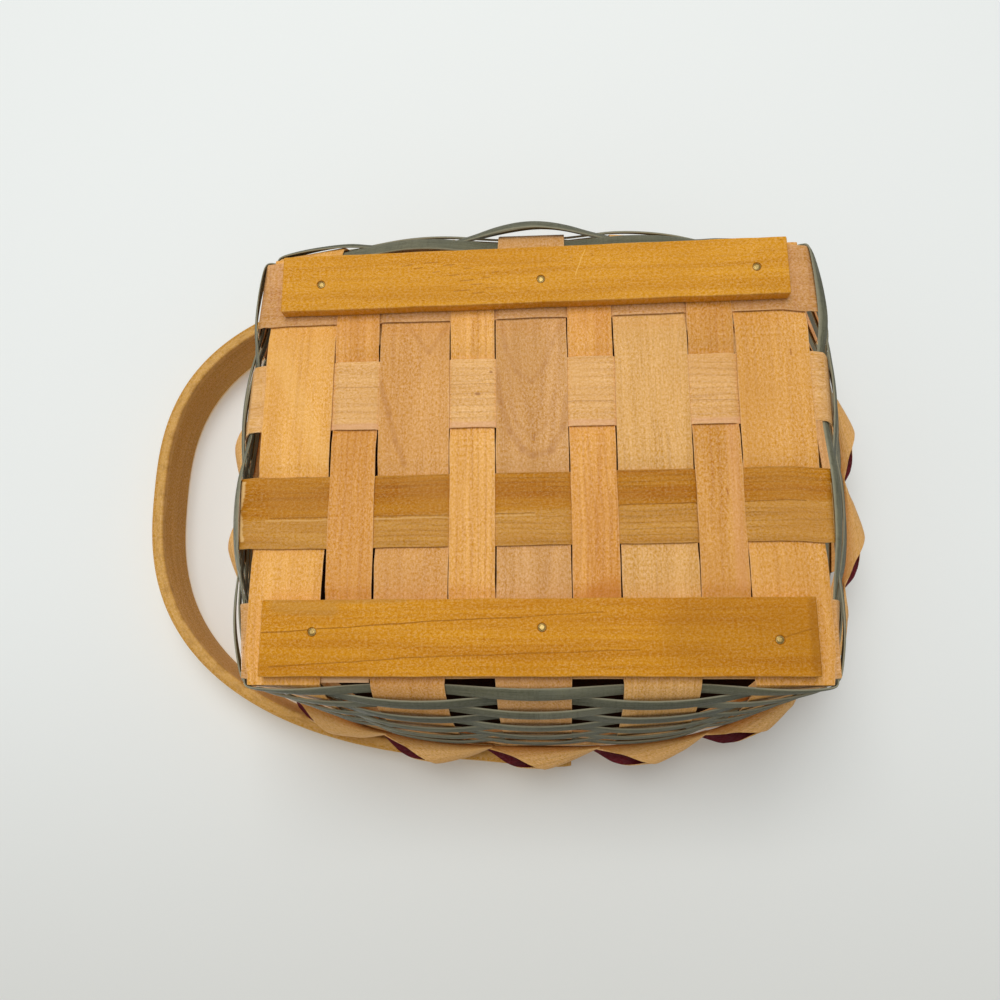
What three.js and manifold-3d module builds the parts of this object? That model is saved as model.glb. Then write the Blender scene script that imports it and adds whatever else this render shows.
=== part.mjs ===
// Splint-woven carry basket with a swing handle, in millimetres, +Z up.
// The origin is the middle of the woven base's underside. The basket opens upwards,
// its long sides face -Y and +Y, and the handle is laid over towards +X.
import * as THREE from 'three';
import { mergeVertices } from 'three/addons/utils/BufferGeometryUtils.js';
import Module from 'manifold-3d';

const wasm = await Module();
wasm.setup();

// Clearances
const touchGap = 0.3; // between pieces that lie against each other
const weaveGap = 0.45; // between a weaver and a stake
const holeClearance = 0.3; // round a nail or a rivet, on the radius

// Splints of the base and walls
const splintThickness = 0.8;
const wideSplintWidth = 33;
const fillerWidth = 20.2;
const splintGap = 0.8; // between a wide splint and the filler beside it
const wideSplintCount = 5;
const stripWidth = 33.6;
const stripPlaces = [-83, -25.3, 30.5, 83]; // middles of the lengthwise strips, front to back
const weaveLift = 0.7; // how far a splint rises or dips at a crossing
const dipLength = 7; // run over which a crosswise splint changes level
const crossRun = 1.5; // half the run over which a strip changes level
const crossMargin = 0.6; // level stretch kept past a crossing

// Outline of the base, the rim and the wall between them
const baseEndEdge = 2.9; // base beyond the outermost splints
const baseSideEdge = 2.2; // base beyond the outermost strips
const baseCornerRadius = 3;
const rimHalfLength = 157.1;
const rimHalfWidth = 129.5;
const rimRoundness = 2.8; // exponent of the rim's superellipse
const bowlHeight = 68; // height over which the wall bends up out of the base
const settleRun = 12; // wall run over which the base weave's levels even out
const sideLean = 0.45; // how nearly straight the wall leans out along the sides, 0 to 1
const endLean = 0.85; // and at the ends
const endReach = 45; // how far from an end its own lean is felt

// Weavers
const weaverThickness = 0.8;
const rowWidth = 7.1;
const rowGap = 0.7;
const firstRowStart = 1; // run from the base's edge to the first row
const lowerRowCount = 10;
const lowestRowCount = 4; // rows laid closest round the base's corners
const upperRowCount = 2;
const weaverBow = 0.9; // how far a weaver stands off the middle of a stake

// Curls
const curlHalfHeight = 7.3;
const curlGap = 0.6; // between the curls and the rows beside them
const curlThickness = 0.8;
const curlReach = 11.5; // how far a curl stands out from its own strip
const curlTailDepth = 4.2; // depth of the pressed tail
const mouthAtWall = 27; // places along the strip, from the stake's middle
const mouthAtTip = -5;
const mouthLean = 3;
const tailEnd = -30;

// Rim
const hoopHeight = 22;
const hoopThickness = 3;
const hoopChamfer = 0.9;
const hoopTopMargin = 0.6; // the stakes' tops stay this far below the hoops' tops
const hoopRise = 5; // bare stakes between the top row and the hoops

// Runners under the base
const runnerLength = 238;
const runnerThickness = 6.4;
const frontRunnerWidth = 33;
const rearRunnerWidth = 28.5;
const frontRunnerPlace = -82.5;
const rearRunnerPlace = 86;
const rearRunnerSkew = -0.35; // degrees
const runnerChamfer = 0.7;
const nailHeadRadius = 1.85;
const nailHeadHeight = 0.7;
const nailShankRadius = 0.9;
const nailClinch = 0.5; // how far a nail's end stands above the base's inner face
const frontNails = [[96, -80], [-4, -78.5], [-103, -84]];
const rearNails = [[100, 84.5], [-5, 83.5], [-104.5, 86]];

// Swing handle
const pivotX = 5;
const handleDrop = 15.9; // pivot below the rim's top
const handleReach = 225; // outside of the bow from the basket's middle
const handleRoundness = 2.6;
const handleSkew = 9; // how far the bow is bent over towards +Y
const handleWidth = 31.8;
const handleThickness = 6.5;
const handleEdge = 1.3; // bevel along the bentwood's edges
const armStraight = 6; // straight wood kept past the pivot before the arm bends
const tailLength = 16; // outside of the arms' rounded ends from the basket's middle
const tailTipHalfWidth = 4;
const rivetHeadRadius = 5.6;
const rivetHeadHeight = 2.2;
const rivetShankRadius = 2.4;
const rivetBurrRadius = 4.6;
const rivetBurrHeight = 1.2;
const washerRadius = 8;
const washerThickness = 0.6;

// Sizes that follow from the ones above
const splintHalf = splintThickness / 2;
const weaveMiddle = weaveLift + splintHalf; // middle plane of the base weave
const baseTop = 2 * weaveMiddle;
const weaverOffset = splintHalf + weaveGap + weaverThickness / 2;
const hoopInner = splintHalf + touchGap; // hoop faces, from the stakes' middle surface
const hoopOuter = hoopInner + hoopThickness;
const stripOffset = weaverOffset + weaverThickness / 2 + 2 * touchGap; // curl strip's inner face
const stakeCount = 2 * (wideSplintCount + stripPlaces.length);
const splintPitch = wideSplintWidth + fillerWidth + 2 * splintGap;
const baseHalfLength = ((wideSplintCount - 1) * splintPitch + wideSplintWidth) / 2 + baseEndEdge;
const baseHalfWidth = Math.max(...stripPlaces.map(Math.abs)) + stripWidth / 2 + baseSideEdge;
const handleInnerHalf = rimHalfWidth + hoopOuter + touchGap + washerThickness + touchGap;
const handleOuterHalf = handleInnerHalf + handleThickness;

const group = new THREE.Group();

// Colours and finishes
const finish = (color, roughness, metalness = 0) => ({ color, roughness, metalness });
const finishes = {
  outerSplint: finish('#dea55c', 0.62),
  pinkSplint: finish('#c89669', 0.62),
  filler: finish('#e1aa64', 0.62),
  paleStrip: finish('#cd9b69', 0.62),
  amberStrip: finish('#b9823c', 0.55),
  weaver: finish('#6e7064', 0.75),
  curl: finish('#c39155', 0.6),
  runner: finish('#cd9137', 0.45),
  hoop: finish('#c8965a', 0.55),
  handle: finish('#c8965a', 0.5),
  brass: finish('#c2a35a', 0.35, 0.9),
};

// Adds a mesh to the basket under its own name.
function addPiece(name, geometry, look) {
  const mesh = new THREE.Mesh(geometry, new THREE.MeshStandardMaterial(finishes[look]));
  mesh.name = name;
  group.add(mesh);
}

// Turns points and triangles into a geometry whose faces point out.
function solidFrom(points, triangles) {
  let volume = 0;
  for (const [a, b, c] of triangles) {
    volume += points[a].dot(new THREE.Vector3().crossVectors(points[b], points[c]));
  }
  const faces = volume < 0 ? triangles.map(([a, b, c]) => [a, c, b]) : triangles;
  const geometry = new THREE.BufferGeometry().setFromPoints(points);
  geometry.setIndex(faces.flat());
  geometry.computeVertexNormals();
  return geometry;
}

// A thin solid between two grids of points, rows by columns. A looped one joins its last
// row to its first, and any other gets an end face at each end.
function slab(top, bottom, looped) {
  const rows = top.length;
  const columns = top[0].length;
  const points = [...top.flat(), ...bottom.flat()];
  const upper = (i, j) => (i % rows) * columns + j;
  const lower = (i, j) => rows * columns + upper(i, j);
  const triangles = [];
  const quad = (a, b, c, d) => triangles.push([a, b, c], [a, c, d]);
  const last = looped ? rows : rows - 1;
  for (let i = 0; i < last; i++) {
    for (let j = 0; j < columns - 1; j++) {
      quad(upper(i, j), upper(i + 1, j), upper(i + 1, j + 1), upper(i, j + 1));
      quad(lower(i, j), lower(i, j + 1), lower(i + 1, j + 1), lower(i + 1, j));
    }
    quad(upper(i, 0), lower(i, 0), lower(i + 1, 0), upper(i + 1, 0));
    const e = columns - 1;
    quad(upper(i, e), upper(i + 1, e), lower(i + 1, e), lower(i, e));
  }
  if (!looped) {
    for (let j = 0; j < columns - 1; j++) {
      quad(upper(0, j), upper(0, j + 1), lower(0, j + 1), lower(0, j));
      quad(upper(rows - 1, j), lower(rows - 1, j), lower(rows - 1, j + 1), upper(rows - 1, j + 1));
    }
  }
  return solidFrom(points, triangles);
}

// A solid through convex closed sections, looped on itself or capped at both ends.
function loft(sections, looped) {
  const rows = sections.length;
  const columns = sections[0].length;
  const at = (i, j) => (i % rows) * columns + (j % columns);
  const triangles = [];
  const last = looped ? rows : rows - 1;
  for (let i = 0; i < last; i++) {
    for (let j = 0; j < columns; j++) {
      triangles.push([at(i, j), at(i + 1, j), at(i + 1, j + 1)]);
      triangles.push([at(i, j), at(i + 1, j + 1), at(i, j + 1)]);
    }
  }
  if (!looped) {
    for (let j = 1; j < columns - 1; j++) {
      triangles.push([at(0, 0), at(0, j), at(0, j + 1)]);
      triangles.push([at(rows - 1, 0), at(rows - 1, j + 1), at(rows - 1, j)]);
    }
  }
  return solidFrom(sections.flat(), triangles);
}

function toManifold(geometry) {
  const bare = geometry.clone();
  bare.deleteAttribute('normal');
  bare.deleteAttribute('uv');
  const merged = mergeVertices(bare, 1e-4);
  return new wasm.Manifold(new wasm.Mesh({
    numProp: 3,
    vertProperties: new Float32Array(merged.attributes.position.array),
    triVerts: new Uint32Array(merged.index.array),
  }));
}

function fromManifold(manifold) {
  const mesh = manifold.getMesh();
  const geometry = new THREE.BufferGeometry();
  geometry.setAttribute('position', new THREE.BufferAttribute(mesh.vertProperties, 3));
  geometry.setIndex(new THREE.BufferAttribute(mesh.triVerts, 1));
  return geometry;
}

function cut(geometry, tools) {
  return fromManifold(tools.reduce((left, tool) => left.subtract(toManifold(tool)), toManifold(geometry)));
}

function join(geometries) {
  const parts = geometries.map(toManifold);
  return fromManifold(parts.slice(1).reduce((whole, part) => whole.add(part), parts[0]));
}

// A turned piece from its half profile of [radius, height] points, standing along +Z.
function turned(profile, sides) {
  const outline = profile.map(([radius, height]) => new THREE.Vector2(radius, height));
  return new THREE.LatheGeometry(outline, sides).rotateX(Math.PI / 2);
}

// The wall. A place on it is given by a stake count g, which runs anticlockwise seen from
// above from the middle of the front side, and by the run w up from the base's edge.
class Superellipse extends THREE.Curve {
  constructor(halfLength, halfWidth, exponent) {
    super();
    Object.assign(this, { halfLength, halfWidth, exponent, arcLengthDivisions: 1200 });
  }

  getPoint(t) {
    const angle = 2 * Math.PI * t - Math.PI / 2;
    const bend = (value) => Math.sign(value) * Math.abs(value) ** (2 / this.exponent);
    return new THREE.Vector2(
      this.halfLength * bend(Math.cos(angle)),
      this.halfWidth * bend(Math.sin(angle)),
    );
  }
}

function roundedRectangle(halfLength, halfWidth, radius) {
  const x = halfLength - radius;
  const y = halfWidth - radius;
  const path = new THREE.Path();
  path.moveTo(0, -halfWidth);
  path.lineTo(x, -halfWidth);
  path.absarc(x, -y, radius, -Math.PI / 2, 0);
  path.lineTo(halfLength, y);
  path.absarc(x, y, radius, 0, Math.PI / 2);
  path.lineTo(-x, halfWidth);
  path.absarc(-x, y, radius, Math.PI / 2, Math.PI);
  path.lineTo(-halfLength, -y);
  path.absarc(-x, -y, radius, Math.PI, 1.5 * Math.PI);
  path.lineTo(0, -halfWidth);
  return path;
}

const baseOutline = roundedRectangle(baseHalfLength, baseHalfWidth, baseCornerRadius);
const rimOutline = new Superellipse(rimHalfLength, rimHalfWidth, rimRoundness);
const baseRound = baseOutline.getLength();
const rimRound = rimOutline.getLength();
const sideFlare = rimHalfWidth - baseHalfWidth;
const bowl = new THREE.EllipseCurve(0, bowlHeight, sideFlare, bowlHeight, -Math.PI / 2, 0);
const bowlRun = bowl.getLength();

// Rows of the wall, as stretches of the run w up from the base's edge
const rowPitch = rowWidth + rowGap;
const curlMiddle = firstRowStart + lowerRowCount * rowPitch - rowGap + curlGap + curlHalfHeight;
const upperStart = curlMiddle + curlHalfHeight + curlGap;
const rowStretch = (start) => [start, start + rowWidth];
const rows = [
  ...Array.from({ length: lowerRowCount }, (_, i) => rowStretch(firstRowStart + i * rowPitch)),
  ...Array.from({ length: upperRowCount }, (_, i) => rowStretch(upperStart + i * rowPitch)),
];
const curlStretch = [curlMiddle - curlHalfHeight, curlMiddle + curlHalfHeight];
const topRowEnd = Math.max(...rows.flat(), curlStretch[1]);
const wallRun = topRowEnd + hoopRise + hoopHeight;
const hoopStretch = [wallRun - hoopHeight, wallRun];
const stakeTop = wallRun - hoopTopMargin;
const stations = [0, ...rows.slice(0, lowerRowCount).map(([from]) => from - rowGap / 2),
  curlStretch[0] - curlGap / 2, stakeTop]; // the wall is straight from the curls up
const wallHeight = wallRun - bowlRun + bowlHeight;
const rimTop = weaveMiddle + wallHeight;
const pivotZ = rimTop - handleDrop;

const splintMiddle = (column) => (column - (wideSplintCount - 1) / 2) * splintPitch;

// The four sides in order, each with its stakes' offsets from the side's middle.
// A level of -1 is the outside, or underside, of the base weave.
const columns = Array.from({ length: wideSplintCount }, (_, i) => i);
const strips = stripPlaces.map((_, i) => i);
const stripOutside = (strip) => strip % 2 === 1; // outside the wide splints
const sides = [
  columns.map((c) => ({ offset: splintMiddle(c), width: wideSplintWidth, level: -1 })),
  strips.map((s) => ({ offset: stripPlaces[s], width: stripWidth, level: stripOutside(s) ? -1 : 1 })),
  columns.map((c) => ({ offset: splintMiddle(c), width: wideSplintWidth, level: 1 })),
  strips.map((s) => ({ offset: -stripPlaces[strips.length - 1 - s], width: stripWidth,
    level: stripOutside(strips.length - 1 - s) ? -1 : 1 })),
];
const frontHalf = (wideSplintCount - 1) / 2;
const allStakes = sides.flatMap((side, k) => side.map((stake) => ({
  ...stake,
  baseArc: (k * baseRound) / 4 + stake.offset,
})));
const stakes = [...allStakes.slice(frontHalf), ...allStakes.slice(0, frontHalf)
  .map((stake) => ({ ...stake, baseArc: stake.baseArc + baseRound }))];

const stakeSpread = stakes.reduce((sum, stake) => sum + stake.width, 0);
const rimGap = (rimRound - stakeSpread) / stakeCount;
stakes.forEach((stake, i) => {
  const before = stakes[i - 1];
  stake.rimArc = i === 0 ? 0 : before.rimArc + (before.width + stake.width) / 2 + rimGap;
});
const stakeShare = wideSplintWidth / (2 * (rimRound / stakeCount)); // half a stake, in g

// Arc length at g along the base or the rim, with the stakes' edges at fixed shares of g.
function arcAt(g, key, round) {
  const nearest = Math.round(g);
  const turn = Math.floor(nearest / stakeCount);
  const here = stakes[nearest - turn * stakeCount];
  const middle = here[key] + turn * round;
  const aside = g - nearest;
  if (Math.abs(aside) <= stakeShare) {
    return middle + (aside / stakeShare) * (here.width / 2);
  }
  const way = Math.sign(aside);
  const next = nearest + way;
  const nextTurn = Math.floor(next / stakeCount);
  const there = stakes[next - nextTurn * stakeCount];
  const edge = middle + (way * here.width) / 2;
  const farEdge = there[key] + nextTurn * round - (way * there.width) / 2;
  const share = (Math.abs(aside) - stakeShare) / (1 - 2 * stakeShare);
  return edge + (farEdge - edge) * share;
}

const onOutline = (outline, arc, round) => outline.getPointAt((((arc / round) % 1) + 1) % 1);

function levelAt(g) {
  const nearest = Math.round(g);
  const here = stakes[((nearest % stakeCount) + stakeCount) % stakeCount].level;
  const aside = g - nearest;
  if (Math.abs(aside) <= stakeShare) {
    return here;
  }
  const next = nearest + Math.sign(aside);
  const there = stakes[((next % stakeCount) + stakeCount) % stakeCount].level;
  return here + ((there - here) * (Math.abs(aside) - stakeShare)) / (1 - 2 * stakeShare);
}

// A point where the wall is free. It swells outwards like a bowl, more so along the sides
// than at the ends, and leans in evenly where the rim is narrower.
function freePoint(g, w) {
  const low = onOutline(baseOutline, arcAt(g, 'baseArc', baseRound), baseRound);
  const high = onOutline(rimOutline, arcAt(g, 'rimArc', rimRound), rimRound);
  const run = Math.min(w / bowlRun, 1);
  const bend = bowl.getPointAt(Math.max(run, 0));
  const fromEnd = baseHalfLength - Math.abs(low.x);
  const atEnd = THREE.MathUtils.smoothstep(1 - fromEnd / endReach, 0, 1);
  const steep = sideLean + (endLean - sideLean) * atEnd;
  const height = bend.y + (run * bowlHeight - bend.y) * steep + Math.max(w - bowlRun, 0);
  const swell = bend.x / sideFlare + (run - bend.x / sideFlare) * steep;
  const lean = height / wallHeight;
  const towards = (from, to) => from + (to - from) * ((to - from) * from > 0 ? swell : lean);
  const settle = 1 - THREE.MathUtils.smoothstep(w, 0, settleRun);
  return new THREE.Vector3(
    towards(low.x, high.x),
    towards(low.y, high.y),
    weaveMiddle + levelAt(g) * weaveLift * settle + height,
  );
}

// A point of the wall's middle surface. A stake is stiff, so it runs straight across.
function wallPoint(g, w) {
  const nearest = Math.round(g);
  const share = ((g - nearest) / stakeShare + 1) / 2;
  if (share <= 0 || share >= 1) {
    return freePoint(g, w);
  }
  return freePoint(nearest - stakeShare, w).lerp(freePoint(nearest + stakeShare, w), share);
}

function wallNormal(g, w) {
  const nearest = Math.round(g);
  const onStake = Math.abs(g - nearest) < stakeShare + 1e-6;
  const [from, to] = onStake ? [nearest - stakeShare, nearest + stakeShare] : [g - 0.01, g + 0.01];
  const stepW = 0.3;
  const along = freePoint(to, w).sub(freePoint(from, w));
  const up = wallPoint(g, w + stepW).sub(wallPoint(g, Math.max(w - stepW, 0)));
  return along.cross(up).normalize();
}

// A point at distance n outside the wall's middle surface.
function offWall(g, w, n) {
  return wallPoint(g, w).addScaledVector(wallNormal(g, w), n);
}

// Places where a hoop is drawn: each stake's edges, as the wall turns between the stakes.
const edgePlaces = stakes.flatMap((_, i) => [i - stakeShare, i + stakeShare]);

// Places where a weaver is drawn: each stake's edges, the middle of a stake that it bows
// over, and the given shares of a gap that turns a corner of the base.
function weaverPlaces(phase, bow, cornerShares) {
  return stakes.flatMap((stake, i) => {
    const over = bow > 0 && (i + phase) % 2 === 0 ? [i] : [];
    const turnsCorner = stakes[(i + 1) % stakeCount].width !== stake.width;
    const inGap = (turnsCorner ? cornerShares : [])
      .map((share) => i + stakeShare + share * (1 - 2 * stakeShare));
    return [i - stakeShare, ...over, i + stakeShare, ...inGap];
  });
}

// How far outside the wall a row's middle lies: outside even stakes when phase is 0.
function weaveOffset(g, phase, bow) {
  const nearest = Math.round(g);
  const side = (nearest + phase) % 2 === 0 ? 1 : -1;
  const aside = Math.abs(g - nearest);
  if (aside <= stakeShare) {
    const middle = 1 - (aside / stakeShare) ** 2;
    return side * weaverOffset + (side > 0 ? bow * middle : 0);
  }
  return side * weaverOffset * (1 - (2 * (aside - stakeShare)) / (1 - 2 * stakeShare));
}

// A flat band woven round the wall between two runs. It is laid from its upper edge down,
// so that its facets turn the same way as those of the stakes.
function wovenBand([from, to], phase, bow, cornerShares) {
  const face = (n) => weaverPlaces(phase, bow, cornerShares).map((g) => [to, from]
    .map((w) => offWall(g, w, weaveOffset(g, phase, bow) + n)));
  return slab(face(weaverThickness / 2), face(-weaverThickness / 2), true);
}

// Nails through the runners, splints and strips
function nailTool([x, y]) {
  const radius = nailShankRadius + holeClearance;
  const height = runnerThickness + baseTop + 4 * touchGap;
  return new THREE.CylinderGeometry(radius, radius, height, 8)
    .rotateX(Math.PI / 2)
    .translate(x, y, baseTop + touchGap - height / 2);
}

// Rivet through the arm, washer, hoops and middle stake, pointing to -Y or +Y.
const rivetFace = handleOuterHalf;
const rivetEnd = rimHalfWidth - hoopOuter;
function rivetTool(side) {
  const radius = rivetShankRadius + holeClearance;
  return new THREE.CylinderGeometry(radius, radius, 8 * hoopThickness, 12)
    .translate(pivotX, side * rimHalfWidth, pivotZ);
}

// A ribbon from rim to rim: up the wall at one stake, over the base, up the opposite wall.
function stakeRibbon(first, second, basePath) {
  const across = [-1, 1];
  const top = [];
  const bottom = [];
  const layWall = (stake, way, w) => {
    const place = (n) => across.map((j) => offWall(stake + way * j * stakeShare, w, n));
    top.push(place(splintHalf));
    bottom.push(place(-splintHalf));
  };
  [...stations].reverse().forEach((w) => layWall(first, 1, w));
  basePath.forEach((place) => {
    top.push(across.map((j) => place(j, -splintHalf)));
    bottom.push(across.map((j) => place(j, splintHalf)));
  });
  stations.forEach((w) => layWall(second, -1, w));
  return slab(top, bottom, false);
}

// Stations of a crosswise splint, which stays on its outer level and dips inside only
// where a strip passes over it. Each is [y, level].
function crosswisePath(insideAt) {
  const path = [];
  stripPlaces.forEach((middle, s) => {
    if (insideAt(s)) {
      const level = stripWidth / 2 + crossMargin;
      const edges = [-level - dipLength, -level, level, level + dipLength];
      edges.forEach((edge, k) => path.push([middle + edge, k === 1 || k === 2 ? 1 : -1]));
    }
  });
  const edge = baseHalfWidth - crossMargin;
  return path.filter(([y]) => Math.abs(y) < edge);
}

// The five wide splints. They pass inside the strips that lie outside.
const splintLooks = ['outerSplint', 'pinkSplint', 'pinkSplint', 'pinkSplint', 'outerSplint'];
const nails = [...frontNails, ...rearNails];
columns.forEach((c) => {
  const x = splintMiddle(c);
  const front = c - frontHalf;
  const back = stakeCount / 2 - front;
  const path = crosswisePath(stripOutside)
    .map(([y, level]) => (j, n) => new THREE.Vector3(
      x + (j * wideSplintWidth) / 2,
      y,
      weaveMiddle + level * weaveLift + n,
    ));
  const near = nails.filter(([nailX]) => Math.abs(nailX - x) < wideSplintWidth / 2);
  const tools = near.map(nailTool);
  if (Math.abs(pivotX - x) < wideSplintWidth / 2) {
    tools.push(rivetTool(-1), rivetTool(1));
  }
  const ribbon = stakeRibbon(front, back, path);
  addPiece(`wide_splint_${c + 1}`, tools.length ? cut(ribbon, tools) : ribbon, splintLooks[c]);
});

// The four fillers between them, cut off at the base's edges
for (let c = 0; c < wideSplintCount - 1; c++) {
  const x = (splintMiddle(c) + splintMiddle(c + 1)) / 2;
  const end = baseHalfWidth - crossMargin;
  const path = [[-end, 1], ...crosswisePath((s) => !stripOutside(s)), [end, -1]];
  const face = (n) => path.map(([y, level]) => [-1, 1].map((j) => new THREE.Vector3(
    x + (j * fillerWidth) / 2,
    y,
    weaveMiddle + level * weaveLift + n,
  )));
  addPiece(`filler_splint_${c + 1}`, slab(face(-splintHalf), face(splintHalf), false), 'filler');
}

// The four lengthwise strips. Levels change in the gaps between the crosswise splints.
strips.forEach((s) => {
  const outside = stripOutside(s) ? -1 : 1;
  const path = [];
  const gapMiddle = (wideSplintWidth + splintGap) / 2;
  columns.forEach((c) => {
    const x = splintMiddle(c);
    if (c > 0) {
      path.push([x - gapMiddle - crossRun, -outside], [x - gapMiddle + crossRun, outside]);
    }
    if (c < wideSplintCount - 1) {
      path.push([x + gapMiddle - crossRun, outside], [x + gapMiddle + crossRun, -outside]);
    }
  });
  const right = frontHalf + 1 + s;
  const left = stakeCount - frontHalf - 1 - s;
  const y = stripPlaces[s];
  const places = path.map(([x, level]) => (j, n) => new THREE.Vector3(
    x,
    y + (j * stripWidth) / 2,
    weaveMiddle + level * weaveLift + n,
  )).reverse();
  const near = nails.filter(([, nailY]) => Math.abs(nailY - y) < stripWidth / 2);
  const ribbon = stakeRibbon(right, left, places);
  addPiece(`end_strip_${s + 1}`, near.length ? cut(ribbon, near.map(nailTool)) : ribbon,
    s === 1 ? 'amberStrip' : 'paleStrip');
});

// The weaver rings, alternating in and out of the stakes
rows.forEach((stretch, r) => {
  const phase = r < lowerRowCount ? r : r + 1;
  const lowerShares = r < lowerRowCount ? [0.5] : [];
  const cornerShares = r < lowestRowCount ? [0.25, 0.5, 0.75] : lowerShares;
  addPiece(`weaver_row_${r + 1}`, wovenBand(stretch, phase, weaverBow, cornerShares), 'weaver');
});
const backing = [curlStretch[0] + curlGap, curlStretch[1] - curlGap];
addPiece('curl_backing_weaver', wovenBand(backing, lowerRowCount, 0, []), 'curl');

// One curl: a horn that opens at its mouth and narrows to a pressed tail. Its side against
// the wall is bent only at the stake's edges.
function horn(stake, roundSteps) {
  const pitch = rimRound / stakeCount;
  const length = mouthAtWall - tailEnd;
  const bends = [wideSplintWidth / 2, -wideSplintWidth / 2].map((u) => (mouthAtWall - u) / length);
  const tubePoint = (a, phi, depth) => {
    const outer = stripOffset + curlTailDepth + (curlReach - curlTailDepth) * (1 - a ** 1.5);
    const middle = (stripOffset + outer) / 2;
    const halfDepth = (outer - stripOffset) / 2 - depth;
    const mouth = (mouthAtWall + mouthAtTip) / 2 + mouthLean / 2
      - ((mouthAtWall - mouthAtTip) / 2) * Math.cos(phi) + mouthLean * Math.sin(phi);
    const u = mouth + (tailEnd - mouth) * a;
    return offWall(
      stake + u / pitch,
      curlMiddle + (curlHalfHeight - depth) * Math.sin(phi),
      middle + halfDepth * Math.cos(phi),
    );
  };
  const sections = [];
  const skin = (depth, stepsAlong) => stepsAlong.forEach((a) => {
    sections.push(Array.from({ length: roundSteps }, (_, k) => tubePoint(
      a,
      (2 * Math.PI * (k + 0.5)) / roundSteps,
      depth,
    )));
  });
  skin(0, [0, ...bends, 1]);
  skin(curlThickness, [1, ...bends.reverse(), 0]);
  return loft(sections, true);
}

// One strip runs through all the curls, each tail pressed onto the start of the next curl.
addPiece('curl_strip', join(stakes.map((_, i) => horn(i, 6))), 'curl');

// The rim's two hoops, holding the stakes' tops between them
function hoop(inner, outer) {
  const [from, to] = hoopStretch;
  const away = outer > inner ? 1 : -1;
  const profile = [
    [to, inner],
    [from, inner],
    [from, outer - away * hoopChamfer],
    [from + hoopChamfer, outer],
    [to - hoopChamfer, outer],
    [to, outer - away * hoopChamfer],
  ];
  return loft(edgePlaces.map((g) => profile.map(([w, n]) => offWall(g, w, n))), true);
}

const rivetTools = [rivetTool(-1), rivetTool(1)];
addPiece('outer_rim_hoop', cut(hoop(hoopInner, hoopOuter), rivetTools), 'hoop');
addPiece('inner_rim_hoop', cut(hoop(-hoopInner, -hoopOuter), rivetTools), 'hoop');

// The runners under the base, with a seat for each nail's head
function runner(width) {
  const outline = new THREE.Shape();
  outline.moveTo(-runnerLength / 2, -width / 2);
  outline.lineTo(runnerLength / 2, -width / 2);
  outline.lineTo(runnerLength / 2, width / 2);
  outline.lineTo(-runnerLength / 2, width / 2);
  return new THREE.ExtrudeGeometry(outline, {
    depth: runnerThickness - 2 * runnerChamfer,
    bevelThickness: runnerChamfer,
    bevelSize: runnerChamfer,
    bevelOffset: -runnerChamfer,
    bevelSegments: 1,
  }).translate(0, 0, runnerChamfer - runnerThickness - touchGap);
}

const runnerUnder = -runnerThickness - touchGap;
function headSeat([x, y]) {
  const radius = nailHeadRadius + holeClearance;
  return new THREE.CylinderGeometry(radius, radius, 2 * (nailHeadHeight + touchGap), 12)
    .rotateX(Math.PI / 2)
    .translate(x, y, runnerUnder);
}

function addRunner(name, width, place, skew, places) {
  const board = runner(width)
    .rotateZ(THREE.MathUtils.degToRad(skew))
    .translate(0, place, 0);
  addPiece(name, cut(board, [...places.map(nailTool), ...places.map(headSeat)]), 'runner');
}
addRunner('front_runner', frontRunnerWidth, frontRunnerPlace, 0, frontNails);
addRunner('rear_runner', rearRunnerWidth, rearRunnerPlace, rearRunnerSkew, rearNails);

// Nails, head down in the runner and shank up through the base
function nail() {
  const headTop = nailHeadHeight;
  const end = runnerThickness + baseTop + nailClinch;
  return turned([
    [0, nailHeadHeight * 0.2],
    [nailHeadRadius * 0.7, nailHeadHeight * 0.2],
    [nailHeadRadius, nailHeadHeight * 0.5],
    [nailHeadRadius, headTop],
    [nailShankRadius, headTop],
    [nailShankRadius, end - nailShankRadius],
    [nailShankRadius * 0.5, end],
    [0, end],
  ], 8);
}
const nailSets = [['front', frontNails], ['rear', rearNails]];
nailSets.forEach(([end, places]) => places.forEach(([x, y], k) => {
  addPiece(`${end}_runner_nail_${k + 1}`, nail().translate(x, y, runnerUnder), 'brass');
}));

// The bentwood handle: arms with rounded ends beside the rim, and a bow beyond its end
function handleSpot(t) {
  const bend = (value) => Math.sign(value) * Math.abs(value) ** (2 / handleRoundness);
  const reach = handleReach - handleThickness / 2;
  const half = handleOuterHalf - handleThickness / 2;
  const out = bend(Math.cos(t));
  return new THREE.Vector2(reach * out, half * bend(Math.sin(t)) + handleSkew * out ** 2);
}

function handlePath() {
  const half = handleOuterHalf - handleThickness / 2;
  const steps = 24;
  const bow = Array.from({ length: steps - 1 }, (_, i) => {
    const share = (i + 1) / steps;
    return handleSpot((-Math.PI / 2) * Math.cos(Math.PI * share));
  }).filter((spot) => spot.x > pivotX + 2 * armStraight);
  const capMiddle = handleWidth / 2 - tailLength;
  const capShares = [1, 0.86, 0.6, 0.3, 0];
  const capX = (share) => capMiddle - share * (handleWidth / 2);
  const arm = (side) => capShares.map((share) => new THREE.Vector2(capX(share), side * half));
  return [...arm(-1), new THREE.Vector2(pivotX + armStraight, -half), ...bow,
    new THREE.Vector2(pivotX + armStraight, half), ...arm(1).reverse()];
}

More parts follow.
